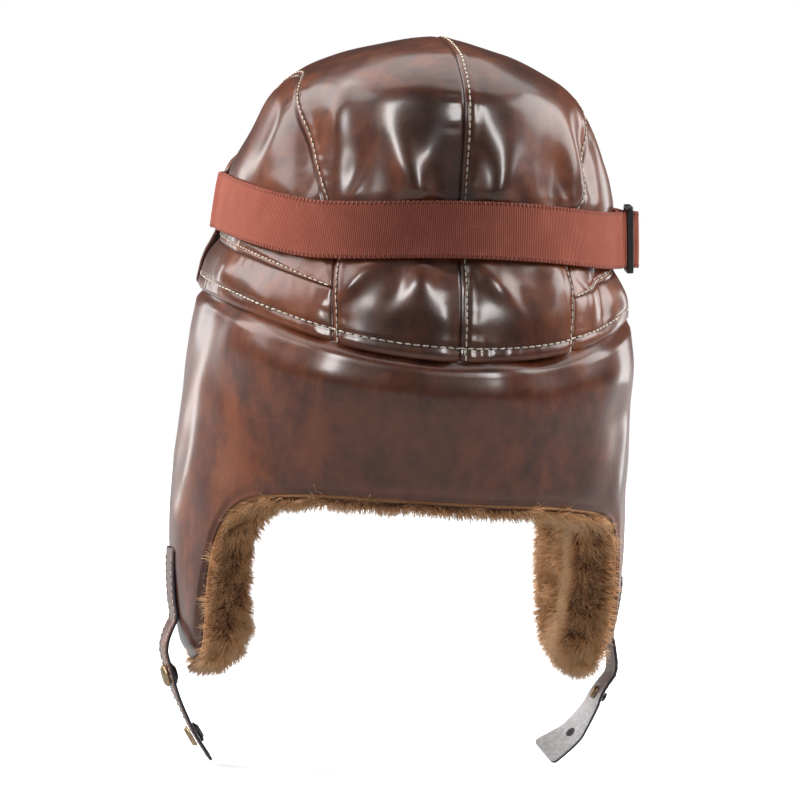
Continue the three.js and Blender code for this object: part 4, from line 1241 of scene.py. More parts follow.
@dataclass
class Panel:
    """One panel of leather over a grid of points on the head's form.

    roles says what happens at its start, end, head and foot: the first and last column and row.
    """

    name: str
    grid: Points
    roles: dict[str, SeamRole]
    wall: float = 1.8
    ripple: float = 0.16
    ripple_length: float = 30.0
    fine_ripple: float = 0.048
    fine_ripple_length: float = 14.0
    pucker_patch: float = 40.0
    normals: Points = field(init=False)
    away: dict[str, Points] = field(init=False)
    outer: Points = field(init=False)

    def __post_init__(self) -> None:
        """Works out directions, distances from the edges and the outer sheet."""
        self.normals = grid_normals(self.grid)
        across, down = run_lengths(self.grid, 1), run_lengths(self.grid, 0)
        self.away = {"start": across, "end": across[:, -1:] - across, "head": down, "foot": down[-1:] - down}
        relief = self.ripple * waves(self.grid, self.ripple_length, 3)
        relief += self.fine_ripple * waves(self.grid, self.fine_ripple_length, 4)
        strength = 0.5 + 0.5 * waves(self.grid, self.pucker_patch, 8)
        for side, role in self.roles.items():
            run = across if side in ("head", "foot") else down
            relief += PROFILE.relief(role, self.away[side])
            relief += strength * PROFILE.puckers(run, self.away[side])
        self.outer = self.grid + self.normals * relief[..., None]

    def build(self, finish: bpy.types.Material) -> None:
        """Makes the panel as a closed piece that stands for its solid."""
        piece = shell_object(self.name, self.outer, self.grid - self.normals * self.wall)
        worn, sunk = np.zeros(self.grid.shape[:2]), np.zeros(self.grid.shape[:2])
        for side, role in self.roles.items():
            worn = np.maximum(worn, PROFILE.worn(role, self.away[side]))
            sunk = np.maximum(sunk, PROFILE.sunk(role, self.away[side]))
        # The sunk places darken the leather's colour as painted shade in the seams.
        set_point_values(piece, edge_wear=worn, valley=sunk)
        dress(piece, finish, "helmet_leather", self.name).name = self.name + "_leather"

    def line(self, side: str, offset: float, lift: float, trim: float) -> Points:
        """A line on the panel at one distance from a side.

        Args:
            side: start, end, head or foot.
            offset: distance from that side, in millimetres.
            lift: how far above the leather it runs.
            trim: length left off at both ends.

        Returns:
            The points of the line.
        """
        away = self.away[side]
        raised = self.outer + self.normals * lift
        if side in ("head", "foot"):
            away, raised = away.T, raised.transpose(1, 0, 2)
        points = []
        for distances, row in zip(away, raised):
            if distances.max() < offset:
                continue
            if distances[0] > distances[-1]:
                distances, row = distances[::-1], row[::-1]
            points.append([np.interp(offset, distances, row[:, axis]) for axis in range(3)])
        path = np.array(points)
        run = run_lengths(path, 0)
        return path[(run > trim) & (run < run[-1] - trim)]


@dataclass
class Crown:
    """The crown's six sewn panels and the flap turned up over the brow.

    fine and coarse are the steps of the grids at their edges and in their middle, and band is how
    wide the fine part is.
    """

    form: HeadForm
    fine: float = 0.5
    end_fine: float = 0.8
    coarse: float = 1.7
    strip_coarse: float = 1.1
    band: float = 9.0
    strip_band: float = 6.0
    brow_band: float = 7.0
    centre_size: tuple[float, float] = (76.0, 380.0)
    side_size: tuple[float, float] = (90.0, 240.0)
    strip_size: tuple[float, float] = (23.0, 240.0)
    brow_length: float = 300.0
    brow_height: float = 60.0
    brow_angle: float = 117.0
    brow_turn: float = 10.0
    brow_cut: float = 0.12
    stitch_lift: float = 0.25
    panels: dict[str, Panel] = field(default_factory=dict)

    def centre_grid(self, sign: int) -> Points:
        """Points of one half of the strip over the head, from the centre seam outwards."""
        width, length = self.centre_size
        across = graded(width, self.fine, self.coarse, self.band)[None, :]
        run = graded(length, self.fine, self.coarse, self.band)[:, None]
        seam_end = ARCH_SEAM.values["half"][-1]
        ahead = (1 - 2 * run) * np.sqrt(1 - (across * seam_end) ** 2)
        half = ARCH_SEAM.read(np.abs(ahead), "half")
        return self.form.crown(sign * across * half, ahead)

    def arch_crossing(self, ring: Callable[[Points], Points], toward: int) -> float:
        """Angle at which the arch seam crosses a ring of the crown's plan.

        Args:
            ring: share of the way down at which the ring lies, for an angle.
            toward: 1 for the crossing behind the ear and -1 for the one before it.

        Returns:
            The angle in radians.
        """
        low, high = 0.0, 1.0
        for _ in range(CROSSING_HALVINGS):
            ahead = (low + high) / 2
            half = float(ARCH_SEAM.read(ahead, "half"))
            inside = math.hypot(half, ahead) < float(ring(np.array(math.atan2(half, toward * ahead))))
            low, high = (ahead, high) if inside else (low, ahead)
        return math.atan2(float(ARCH_SEAM.read(low, "half")), toward * low)

    def side_upper_grid(self, sign: int) -> Points:
        """Points of the arched panel above the level seam, from the arch down to it."""
        height, length = self.side_size
        ring = self.form.side_seam_along
        back, front = self.arch_crossing(ring, 1), self.arch_crossing(ring, -1)
        ends = [float(ring(np.array(angle))) * math.cos(angle) for angle in (back, front)]
        down = graded(height, self.fine, self.coarse, self.band)[None, :]
        run = graded(length, self.end_fine, self.coarse, self.band)[:, None]
        angle = back + (front - back) * run
        seam_ahead = ends[0] + (ends[1] - ends[0]) * (1 - np.cos(run * math.pi)) / 2
        seam_half = ARCH_SEAM.read(np.abs(seam_ahead), "half")
        along = ring(angle)
        last = (run <= 0) | (run >= 1)
        ring_half = np.where(last, seam_half, along * np.sin(angle))
        ring_ahead = np.where(last, seam_ahead, along * np.cos(angle))
        across = seam_half + (ring_half - seam_half) * down
        return self.form.crown(sign * across, seam_ahead + (ring_ahead - seam_ahead) * down)

    def side_lower_grid(self, sign: int) -> Points:
        """Points of the strip between the level seam and the hem, as rows from top to hem."""
        height, length = self.strip_size
        run = graded(length, self.end_fine, self.coarse, self.band)
        rows = []
        for share in graded(height, self.fine, self.strip_coarse, self.strip_band):
            def ring(angle: Points, share: float = share) -> Points:
                """Ring between the level seam and the hem."""
                seam = self.form.side_seam_along(angle)
                return seam + (1.0 - seam) * share

            back, front = self.arch_crossing(ring, 1), self.arch_crossing(ring, -1)
            angle = back + (front - back) * run
            along = ring(angle)
            rows.append(self.form.crown(sign * along * np.sin(angle), along * np.cos(angle)))
        return np.stack(rows)

    def brow_grid(self) -> Points:
        """Points of the turned-up flap, as rows from its lower edge up."""
        form = self.form
        lift = form.leather + form.gap + form.seam_dip
        span = 360 - 2 * self.brow_angle
        up = graded(self.brow_height, self.fine, self.coarse, self.brow_band)[:, None]
        run = graded(self.brow_length, self.fine, self.coarse, self.band)[None, :]
        angle = np.radians(self.brow_angle + run * span)
        rounding = 1 - np.clip(np.minimum(run, 1 - run) * span / self.brow_turn, 0, 1)
        depth = form.hem_depth(angle) - up * self.brow_height * (1 - self.brow_cut * rounding**2)
        return form.crown_base(angle, form.along_at_depth(angle, depth), lift - form.press(angle, depth))

    def build(self, leather: bpy.types.Material) -> None:
        """Makes every panel."""
        tucked, over, hem = SeamRole.TUCKED, SeamRole.TOPSTITCHED, SeamRole.HEM
        strip = {"start": tucked, "end": tucked, "head": tucked, "foot": hem}
        for side, sign in (("left", 1), ("right", -1)):
            centre = {"start": tucked if sign > 0 else over, "end": over, "head": hem, "foot": hem}
            self._add(Panel(f"crown_centre_{side}", self.centre_grid(sign), centre), leather)
            arched = {"start": tucked, "end": over}
            self._add(Panel(f"crown_side_upper_{side}", self.side_upper_grid(sign), arched), leather)
            self._add(Panel(f"crown_side_lower_{side}", self.side_lower_grid(sign), strip), leather)
        self._add(Panel("brow_flap", self.brow_grid(), strip), leather)

    def _add(self, panel: Panel, leather: bpy.types.Material) -> None:
        """Builds one panel and keeps it."""
        panel.build(leather)
        self.panels[panel.name] = panel

    def _lines(self, panels: str, sides: str, offset: float, trim: float = 1.5) -> list[Points]:
        """Lines for stitches at one distance from sides of panels, their names parted by spaces."""
        return [
            self.panels[name].line(side, offset, self.stitch_lift, trim)
            for name in panels.split()
            for side in sides.split()
        ]

    def stitching(self) -> dict[str, tuple[Sewing, list[Points]]]:
        """The crown's stitch lines, by the new piece's name."""
        fine, hem = Sewing(), Sewing(3.6, 3.35, 0.8)
        seam, edge = PROFILE.stitch_in, PROFILE.hem_stitch
        centres = "crown_centre_left crown_centre_right"
        uppers = "crown_side_upper_left crown_side_upper_right"
        lowers = "crown_side_lower_left crown_side_lower_right"
        around = self._lines(centres, "head foot", edge, 0.5) + self._lines(lowers, "foot", edge, 0.5)
        return {
            "centre_stitches": (fine, self._lines("crown_centre_right", "start", seam)),
            "arch_stitches": (fine, self._lines(centres, "end", seam)),
            "level_stitches": (fine, self._lines(uppers, "end", seam, 3.0)),
            "brow_stitches": (hem, self._lines("brow_flap", "start end foot", edge, 6.0)),
            "hem_stitches": (hem, around),
        }


@dataclass
class NeckSkirt:
    """Neck and ear flaps in one sheet of leather, its edge turned in over the pile.

    turn_in and end_turn are how far its edge and front ends are drawn in, roll is the round of
    leather pushed out below the hem at the back, and the others are lengths in millimetres.
    """

    form: HeadForm
    columns: int = 330
    rows: int = 88
    row_drift: float = 0.18
    turn_in: float = 2.8
    turn_width: float = 4.2
    end_turn: float = 1.5
    end_width: float = 2.0
    lip: float = 0.4
    rim_width: float = 3.0
    wear: float = 0.35
    ripple: float = 0.75
    ripple_length: float = 56.0
    fine_ripple: float = 0.21
    fine_ripple_length: float = 24.0
    ripple_fade: float = 10.0
    roll: float = 4.4
    roll_down: float = 26.0
    roll_wide: float = 16.0

    def build(self, leather: bpy.types.Material) -> None:
        """Makes the skirt as a closed piece that stands for its solid."""
        place = np.linspace(-1, 1, self.columns)[None, :]
        run = np.linspace(0, 1, self.rows)[:, None]
        down = run + self.row_drift * np.sin(run * math.pi) * run * (1 - run)
        angle, depth = self.form.skirt_place(place + 0 * down, down + 0 * place)
        grid = self.form.skirt(angle, depth)
        normals = grid_normals(grid)
        from_hem, from_start = run_lengths(grid, 0), run_lengths(grid, 1)
        from_edge = from_hem[-1:] - from_hem
        near_end = np.minimum(from_start, from_start[:, -1:] - from_start)
        at_back = ease(np.cos(angle), 0.2, 0.75)
        soft = self.ripple * waves(grid, self.ripple_length, 11)
        soft += self.fine_ripple * waves(grid, self.fine_ripple_length, 12)
        relief = self.roll * bump(from_hem - self.roll_down, self.roll_wide) * at_back
        relief += soft * ease(from_edge, 0.0, self.ripple_fade)
        relief -= self.turn_in * bump(from_edge, self.turn_width) + self.end_turn * bump(near_end, self.end_width)
        wall = self.form.leather + self.lip * bump(from_edge, self.rim_width)
        outer, inner = grid + normals * relief[..., None], grid - normals * wall[..., None]
        piece = shell_object("neck_skirt_leather", outer, inner)
        worn = self.wear * bump(from_edge - self.rim_width, self.rim_width)
        set_point_values(piece, edge_wear=worn, valley=np.zeros(0))
        dress(piece, leather, "helmet_leather", "neck_skirt")


@dataclass
class FurLining:
    """Tan pile that lines the skirt and curls past its edge. Sizes in millimetres.

    Each row of the backing says how far down the skirt it lies, how much of the overhang it reaches
    past the edge, and at which shares of the pile's depth its outer and inner sheets lie.
    """

    form: HeadForm
    nape_deep: float = 20.0
    left_deep: float = 25.0
    right_deep: float = 22.0
    overhang: float = 3.0
    flap_overhang: float = 4.5
    gaps: float = 2.5
    pile: float = 8.0
    pile_sunk: float = 0.62
    blade: float = 0.3
    blades: int = 46000
    lumps: float = 1.3
    lump_length: float = 17.0
    grid: tuple[int, int] = (60, 110)
    nape_end: float = 0.42
    rim_rows: int = 6
    rows: tuple[tuple[float, float, float, float], ...] = (
        (0.1, 0, 0, 0.4),
        (0.28, 0, 0, 0.7),
        (0.46, 0, 0, 0.88),
        (0.64, 0, 0, 1),
        (0.82, 0, 0, 1),
        (0.96, 0, 0, 0.97),
        (1, 0.35, 0, 0.9),
        (1, 1, 0.25, 0.62),
    )

    def sheet(self, place: Points, level: Points, inside: float) -> Points:
        """Points of the pile's backing.

        Args:
            place: signed place along the skirt's outline.
            level: 0 at the first row of the table and 1 at the last.
            inside: 0 on the leather and 1 on the pile's face.

        Returns:
            The points in millimetres.
        """
        index = level * (len(self.rows) - 1)
        table = np.array(self.rows)
        steps = np.arange(len(self.rows))
        down, past, outer, inner = (np.interp(index, steps, table[:, column]) for column in range(4))
        neck, clear = self.form.neck_depth, self.form.leather + self.gaps * self.form.gap
        bottom = self.form.skirt_column(place)[3]
        overhang = self.overhang + (self.flap_overhang - self.overhang) * ease(bottom, neck, neck * 1.2)
        on_skirt = self.form.skirt_place(place, down)
        past_edge = self.form.beyond_edge(place, overhang * past)
        angle, depth = (np.where(past > 0, *pair) for pair in zip(past_edge, on_skirt))
        flap_deep = np.where(place < 0, self.right_deep, self.left_deep)
        deep = self.nape_deep + (flap_deep - self.nape_deep) * ease(depth, neck * 0.9, neck * 1.1)
        share = outer + (inner - outer) * inside
        base = self.form.skirt(angle, depth, dents=False)
        normals = grid_normals(base)
        offset = clear + np.maximum(share * deep - self.pile * self.pile_sunk * inside, 0.0)
        points = base - normals * offset[..., None]
        return points + normals * (waves(points, self.lump_length, 21) * self.lumps * inside)[..., None]

    def build(self, fur: bpy.types.Material) -> None:
        """Makes the backing and its pile, in three stretches."""
        tree = self.tree()
        ends = self.nape_end
        stretches = {"right": (-1.0, -ends), "nape": (-ends, ends), "left": (ends, 1.0)}
        for seed, (name, (first, last)) in enumerate(stretches.items()):
            place = np.linspace(first, last, self.grid[1])[None, :]
            level = np.linspace(0, 1, self.grid[0])[:, None]
            place, level = place + 0 * level, level + 0 * place
            outer, inner = self.sheet(place, level, 0.0), self.sheet(place, level, 1.0)
            backing = shell_object(f"fur_backing_{name}", outer, inner)
            even = np.full(len(backing.data.vertices), 0.4)
            set_point_values(backing, tip=0 * even, shade=even)
            dress(backing, fur, "fur_pile", "fur_lining")
            values = {"Seed": seed, "Length": self.pile * MM, "Width": self.blade * MM, "Pile Material": fur}
            self.grow(name, outer, inner, tree, values)

    def grow(
        self, name: str, outer: Points, inner: Points, tree: bpy.types.NodeTree, values: dict[str, object]
    ) -> None:
        """Grows the pile on one stretch's face and round its lower rim.

        Args:
            name: the stretch.
            outer: the backing's sheet on the leather.
            inner: the backing's sheet on the pile's side.
            tree: the pile's tree.
            values: the tree's inputs but for its density.
        """
        rim = np.stack([inner[-1] + (outer[-1] - inner[-1]) * share for share in (0.33, 0.66, 1.0)])
        face = np.concatenate([inner, rim, outer[-2::-1][: self.rim_rows]])
        added = len(face) - len(inner)
        out, down = -grid_normals(inner), unit(np.gradient(inner, axis=0))
        out = np.concatenate([out, np.repeat(out[-1:] * 0.3 + down[-1:], added, axis=0)])
        flow = np.concatenate([down, np.repeat(down[-1:], added, axis=0)])
        lay = unit(out * 0.75 + flow * 0.62)
        emitter = mesh_object(f"fur_face_{name}", face, sheet_faces(*face.shape[:2]))
        attribute = emitter.data.attributes.new("lay", "FLOAT_VECTOR", "POINT")
        attribute.data.foreach_set("vector", lay.astype(np.float32).ravel())
        area = sum(polygon.area for polygon in emitter.data.polygons)
        piece = grown(emitter, tree, {"Density": self.blades / area, **values}, f"fur_pile_{name}")
        settle(piece, "fur_pile", "fur_lining")

    @staticmethod
    def tree() -> bpy.types.NodeTree:
        """The tree that scatters thin bent blades, leaning together in locks."""
        nodes = GeometryTree("pile", {
            "Density": "Float", "Length": "Float", "Width": "Float", "Seed": "Int", "Pile Material": "Material",
        })
        length = nodes.given("Length")
        spots = nodes.node("GeometryNodeDistributePointsOnFaces", {
            "Mesh": nodes.given("Geometry"), "Density": nodes.given("Density"), "Seed": nodes.given("Seed"),
        })
        where = nodes.node("GeometryNodeInputPosition")
        lay = nodes.node("GeometryNodeInputNamedAttribute", {"Name": "lay"}, data_type="FLOAT_VECTOR")
        clumps = nodes.node("ShaderNodeTexNoise", {"Vector": where, "Scale": 110.0, "Detail": 2.0}, "Color")
        centred = nodes.vector("SUBTRACT", {0: clumps, 1: (0.5, 0.5, 0.5)})
        strong = nodes.vector("SCALE", {0: centred, "Scale": 3.2})
        stray = nodes.scatter((-0.34, -0.34, -0.34), (0.34, 0.34, 0.34), 3)
        aim = nodes.vector("ADD", {0: nodes.vector("ADD", {0: lay, 1: strong}), 1: stray})
        upright = nodes.node("FunctionNodeAlignRotationToVector", {"Vector": aim}, axis="Z")
        facing = nodes.turned(upright, nodes.node("ShaderNodeCombineXYZ", {2: nodes.chance(math.tau, 4)}))
        cone = nodes.node("GeometryNodeMeshCone", {
            "Vertices": 3, "Side Segments": 1, "Fill Segments": 1, "Radius Top": 0.0,
            "Radius Bottom": nodes.given("Width"), "Depth": length,
        })
        share = nodes.node("ShaderNodeSeparateXYZ", {0: where}, "Z") / length
        aside = nodes.math("POWER", share, 2.0) * length * 0.34
        shift = nodes.node("ShaderNodeCombineXYZ", {0: aside})
        bent = nodes.node("GeometryNodeSetPosition", {"Geometry": cone, "Offset": shift})
        kept = {"data_type": "FLOAT", "domain": "POINT"}
        tip = {"Geometry": bent, "Name": "tip", "Value": share}
        tipped = nodes.node("GeometryNodeStoreNamedAttribute", tip, **kept)
        size = nodes.scatter((0.6, 0.6, 0.62), (1.1, 1.1, 1.12), 6)
        blades = nodes.placed(spots, tipped, {"Rotation": facing, "Scale": size})
        own = {"Geometry": blades, "Name": "shade", "Value": nodes.chance(1.0, 7)}
        shaded = nodes.node("GeometryNodeStoreNamedAttribute", own, data_type="FLOAT", domain="INSTANCE")
        return nodes.close(nodes.painted(nodes.real(shaded), "Pile Material"))


@dataclass
class GoggleStrap:
    """The ribbed elastic, a loop round the crown and over the slider's middle bar."""

    form: HeadForm
    thickness: float = 1.6
    slider_angle: float = -75.0
    slider_length: float = 25.0
    slider_thickness: float = 3.0
    slider_bar: float = 3.2
    slack: float = 1.6
    brow_angle: float = 117.0
    hold: float = 0.58
    upright: float = 0.12
    picot: float = 2.1
    scallop: float = 0.22
    edge: float = 0.6
    edge_share: float = 0.78
    border_groove: float = 0.16
    border_width: float = 0.5
    near_degrees: float = 22.0
    near_steps: int = 150
    far_steps: int = 880
    end_share: float = 0.62
    end_steps: int = 60
    across: tuple[float, ...] = (
        -1, -0.975, -0.93, -0.88, -0.8, -0.55, -0.2, 0.2, 0.55, 0.8, 0.88, 0.93, 0.975, 1,
    )

    def point(self, angle: Points, down: Points, lift: Points | float) -> Points:
        """A place on the taut line that the elastic follows."""
        depth = self.form.strap_depth(angle) + down
        along = self.form.along_at_depth(angle, depth)
        return self.form.crown_base(angle, along, lift - self.form.strap_press * self.hold - self.upright * down)

    def radius(self) -> float:
        """Distance of the slider's middle from the head's axis."""
        there = self.point(np.array([math.radians(self.slider_angle)]), np.zeros(1), 0.0)[0]
        return math.hypot(there[0], there[1])

    def lift(self, angle: Points) -> Points:
        """How far the inside of the elastic stands off the crown.

        Args:
            angle: angles from the back, in radians.

        Returns:
            Millimetres: over the brow flap, over its own doubled end and over the slider's bar.
        """
        form = self.form
        from_slider = np.abs(turn_between(angle, math.radians(self.slider_angle)) * self.radius())
        from_back = np.abs(np.degrees(turn_between(angle, 0.0)))
        flap = form.leather + form.gap + form.seam_dip
        flap = flap * ease(from_back, self.brow_angle - 9, self.brow_angle - 1)
        reach = self.slider_length / 2
        layer = self.thickness + form.gap
        doubled = layer * (1 - ease(from_slider, reach * 1.25, reach * 2.2))
        over_bar = self.slider_thickness + layer + form.gap + self.slack
        bar_end, hole_end = self.slider_bar / 2 + 0.6, reach - self.slider_bar - 0.3
        return form.gap + flap + doubled + over_bar * (1 - ease(from_slider, bar_end, hole_end))

    def ribbon(self, name: str, angle: Points, lift: Points, closed: bool) -> bpy.types.Object:
        """A ribbon of elastic with slightly thinner edges.

        Args:
            name: the new piece's name.
            angle: its stations round the head.
            lift: how far its inside stands off the crown at each station.
            closed: whether it is a whole loop.

        Returns:
            The ribbon, its UV map in millimetres.
        """
        half = self.form.strap_width / 2
        down = (np.array(self.across) * half)[:, None]
        at = angle[None, :] + 0 * down
        middle = self.point(at, down + 0 * at, lift[None, :] + 0 * down + self.thickness / 2)
        out = np.stack([np.sin(at), np.cos(at), 0 * at], -1)
        from_edge = half - np.abs(down)
        full = self.edge_share + (1 - self.edge_share) * ease(from_edge, 0.0, self.edge)
        thick = self.thickness / 2 * (full - self.border_groove * bump(from_edge - self.picot, self.border_width))
        centre = len(self.across) // 2
        run = run_lengths(middle[centre - 1 : centre + 1], 1)[0][None, :] + 0 * down
        loops = np.sin(run * (2 * math.pi / self.picot)) * np.sign(down)
        middle[..., 2] -= self.scallop * loops * bump(from_edge, self.edge)
        piece = shell_object(name, middle + out * thick[..., None], middle - out * thick[..., None], closed)
        set_uv(piece, np.concatenate([(down + 0 * run).ravel()] * 2), np.concatenate([run.ravel()] * 2))
        return piece

    def build(self, elastic: bpy.types.Material) -> None:
        """Makes the loop and its doubled end."""
        centre, near = math.radians(self.slider_angle), math.radians(self.near_degrees)
        fine = centre - near + 2 * near * np.arange(self.near_steps) / self.near_steps
        coarse = centre + near + (2 * math.pi - 2 * near) * np.arange(self.far_steps) / self.far_steps
        angle = np.concatenate([fine, coarse])
        loop = self.ribbon("goggle_strap_webbing", angle, self.lift(angle), True)
        dress(loop, elastic, "rust_elastic", "goggle_strap")
        reach = self.slider_length * self.end_share / self.radius()
        short = centre + reach * np.linspace(-1, 1, self.end_steps)
        end = self.ribbon("goggle_strap_end_webbing", short, np.full(self.end_steps, self.form.gap), False)
        dress(end, elastic, "rust_elastic", "goggle_strap_end")


def rounded_copy(node: bpy.types.Object, name: str, radius: float, segments: int = 2) -> bpy.types.Object:
    """A copy of a solid with its sharp edges rounded.

    Args:
        node: the solid's object, which stays unchanged.
        name: the new piece's name.
        radius: width of the rounding, in millimetres.
        segments: steps of the rounding.

    Returns:
        The new piece at the origin.
    """
    shape = bmesh.new()
    shape.from_mesh(node.data)
    bmesh.ops.remove_doubles(shape, verts=shape.verts, dist=WELD * MM)
    bmesh.ops.dissolve_limit(shape, angle_limit=FLAT_TURN, verts=shape.verts, edges=shape.edges)
    sharp = [edge for edge in shape.edges if len(edge.link_faces) == 2 and edge.calc_face_angle(0) > SHARP_TURN]
    bmesh.ops.bevel(
        shape, geom=sharp, offset=radius * MM, segments=segments, profile=0.5, affect="EDGES", clamp_overlap=True
    )
    bmesh.ops.recalc_face_normals(shape, faces=shape.faces)
    return solid_object(name, shape)


def smooth_through(values: Points, at: Points) -> Points:
    """Places of a smooth curve through even stations, one place for each row of values."""
    slopes = np.gradient(values, axis=0)
    low = np.clip(np.floor(at).astype(int), 0, len(values) - 2)
    t = (at - low)[:, None]
    first, second = values[low], values[low + 1]
    rise = t * t * (3 - 2 * t)
    return first + (second - first) * rise + t * (1 - t) ** 2 * slopes[low] + t * t * (t - 1) * slopes[low + 1]


LEFT_HANG = (
    (0, 0, 0), (0.2, 0.055, 0), (0.31, 0.03, 0), (0.42, -0.008, 0), (0.53, -0.05, 2), (0.77, -0.18, 4),
    (0.96, -0.315, 5),
)
RIGHT_HANG = (
    (0, 0, 0), (0.22, 0.045, 0), (0.31, 0.03, 0), (0.4, -0.035, 2), (0.52, -0.085, 6), (0.65, -0.16, 14),
    (0.74, -0.23, 22), (0.87, -0.4, 34),
)


@dataclass
class ChinStrap:
    """One leather chin strap: stitched to its flap, then hanging free with its fasteners.

    hang says how far down, how far out and how far turned its free part is, in shares of its length
    and degrees. across are shares of its half width. Other sizes are in millimetres.
    """

    form: HeadForm
    side: str
    top: float
    bottom: float
    hang: tuple[tuple[float, float, float], ...]
    width: float = 19.0
    thickness: float = 1.5
    angle: float = 88.0
    length: float = 66.0
    stitched: int = 5
    free: int = 12
    steps: int = 150
    corner: float = 2.5
    curl: float = 0.3
    edge_thinning: float = 0.28
    across: tuple[float, ...] = (-1, -0.97, -0.9, -0.72, -0.35, 0, 0.35, 0.72, 0.9, 0.97, 1)
    eyelet_share: float = 0.875
    ring: tuple[float, float] = (2.7, 0.5)
    hole: tuple[float, float] = (1.35, 0.6)
    outer: Points = field(init=False)
    outward: Points = field(init=False)

    @property
    def sign(self) -> int:
        """1 on the wearer's left and -1 on the right."""
        return 1 if self.side == "left" else -1

    def stations(self) -> Points:
        """Middle point and twist at each of the solid's own stations along the strap."""
        lift = self.form.gap + self.thickness / 2
        curves = Curves(("down", "out", "turn"), self.hang)
        rows = [
            (*self.flap_point(depth, lift), 0.0) for depth in np.linspace(self.top, self.bottom, self.stitched)
        ]
        start = np.array(rows[-1])
        for step in range(1, self.free + 1):
            down = self.hang[-1][0] * step / self.free
            out, turn = (self.sign * float(curves.read(down, column)) for column in ("out", "turn"))
            rows.append(start + np.array([out * self.length, 0.0, -down * self.length, math.radians(turn)]))
        return np.array(rows)

    def flap_point(self, depth: float, lift: float) -> Points:
        """A point above the skirt's outside, in line with the strap."""
        angle = self.sign * math.radians(self.angle)
        angles = angle + np.array([[-0.01], [0.0], [0.01]]) + np.zeros((3, 3))
        depths = depth + np.array([[-1.0, 0.0, 1.0]]) + np.zeros((3, 3))
        patch = self.form.skirt(angles, depths, dents=False)
        return patch[1, 1] + grid_normals(patch)[1, 1] * lift

    def frames(self, points: Points, turns: Points) -> tuple[Points, Points]:
        """Directions across the strap and outwards at each station."""
        number = np.arange(len(points))
        down = unit(points[np.minimum(number + 1, number[-1])] - points[np.maximum(number - 1, 0)])
        across = np.array([
            Matrix.Rotation(turn, 3, Vector(axis)) @ Vector((0, 1, 0)) for axis, turn in zip(down, turns)
        ])
        across = unit(across - down * np.sum(across * down, -1, keepdims=True))
        outward = unit(np.cross(across, down)) * -self.sign
        outward = np.where(outward[:, :1] * self.sign < 0, -outward, outward)
        return across, outward

    def half_width(self, points: Points) -> Points:
        """Half the strap's width along its length, less at its rounded corners."""
        run = run_lengths(points, 0)
        from_end = np.clip(np.minimum(run, run[-1] - run) / self.corner, 0, 1)
        return self.width / 2 - self.corner * 0.75 * (1 - np.sqrt(1 - (1 - from_end) ** 2))

    def build(self, *materials: bpy.types.Material) -> None:
        """Makes the strap, its materials being those of its face, its painted edges and its back."""
        rough = self.stations()
        places = smooth_through(rough, np.linspace(0, len(rough) - 1, self.steps))
        points = places[:, :3]
        across, outward = self.frames(points, places[:, 3])
        parts = np.array(self.across)[None, :]
        sideways = (parts * self.half_width(points)[:, None])[..., None]
        middle = points[:, None, :] + across[:, None, :] * sideways
        middle = middle - outward[:, None, :] * (self.curl * parts**2)[..., None]
        thick = (self.thickness / 2 - self.edge_thinning * bump(1 - np.abs(parts), 0.05))[..., None]
        self.outer, self.outward = middle + outward[:, None, :] * thick, outward
        name = f"chin_strap_{self.side}"
        piece = shell_object(name + "_leather", self.outer, middle - outward[:, None, :] * thick)
        set_point_values(piece, edge_wear=np.zeros(0), valley=np.zeros(0))
        for material in materials:
            piece.data.materials.append(material)
        piece.data.polygons.foreach_set("material_index", self.face_slots(len(piece.data.polygons)))
        settle(piece, "chin_leather", name)

    def face_slots(self, count: int) -> Points:
        """Which material each face has: 0 on the face, 1 on the edges and 2 on the back."""
        columns = len(self.across) - 1
        quads = (self.steps - 1) * columns
        slots = np.full(count, 1, np.int32)
        by_column = np.arange(quads) % columns
        inside = (by_column >= 1) & (by_column < columns - 1)
        slots[:quads][inside] = 0
        slots[quads : 2 * quads][inside] = 2
        return slots

    def add_inner_eyelet(self, metal: bpy.types.Material, dark: bpy.types.Material) -> None:
        """Makes the eyelet's rolled ring and, on the strap's inner face, its hole as a near-black plug of painted
        shade.
        """
        at = round(self.eyelet_share * (self.steps - 1))
        inward = -Vector(self.outward[at])
        face = Vector(self.outer[at, len(self.across) // 2]) + inward * self.thickness
        turn = inward.to_track_quat("Z", "Y").to_matrix().to_4x4()
        for name, (radius, height), material in (("ring", self.ring, metal), ("hole", self.hole, dark)):
            shape = bmesh.new()
            place = Matrix.Scale(MM, 4) @ Matrix.Translation(face + inward * (height / 2 - 0.2)) @ turn
            bmesh.ops.create_cone(
                shape, cap_ends=True, segments=24, radius1=radius, radius2=radius * 0.86, depth=height, matrix=place
            )
            dress(solid_object(f"eyelet_inner_{name}", shape), material, "snap_dark", "eyelet_outer")

    def stitch_lines(self) -> list[Points]:
        """Lines beside both edges of the outer face."""
        paths = (self.outer[:, first] * 0.65 + self.outer[:, second] * 0.35 for first, second in ((2, 3), (8, 7)))
        return [(path + self.outward * 0.2)[6:-6] for path in paths]


class Shows(Enum):
    """What a light brings out."""

    BOTH = "the colour and the gloss"
    MATT = "the colour alone, as a fill that gloss doesn't mirror"
    GLOSS = "the gloss alone"


@dataclass(frozen=True)
class SoftBox:
    """A soft light: its place to the right, towards the camera and up, its size and its watts."""

    name: str
    place: tuple[float, float, float]
    size: tuple[float, float]
    power: float
    shows: Shows = Shows.BOTH


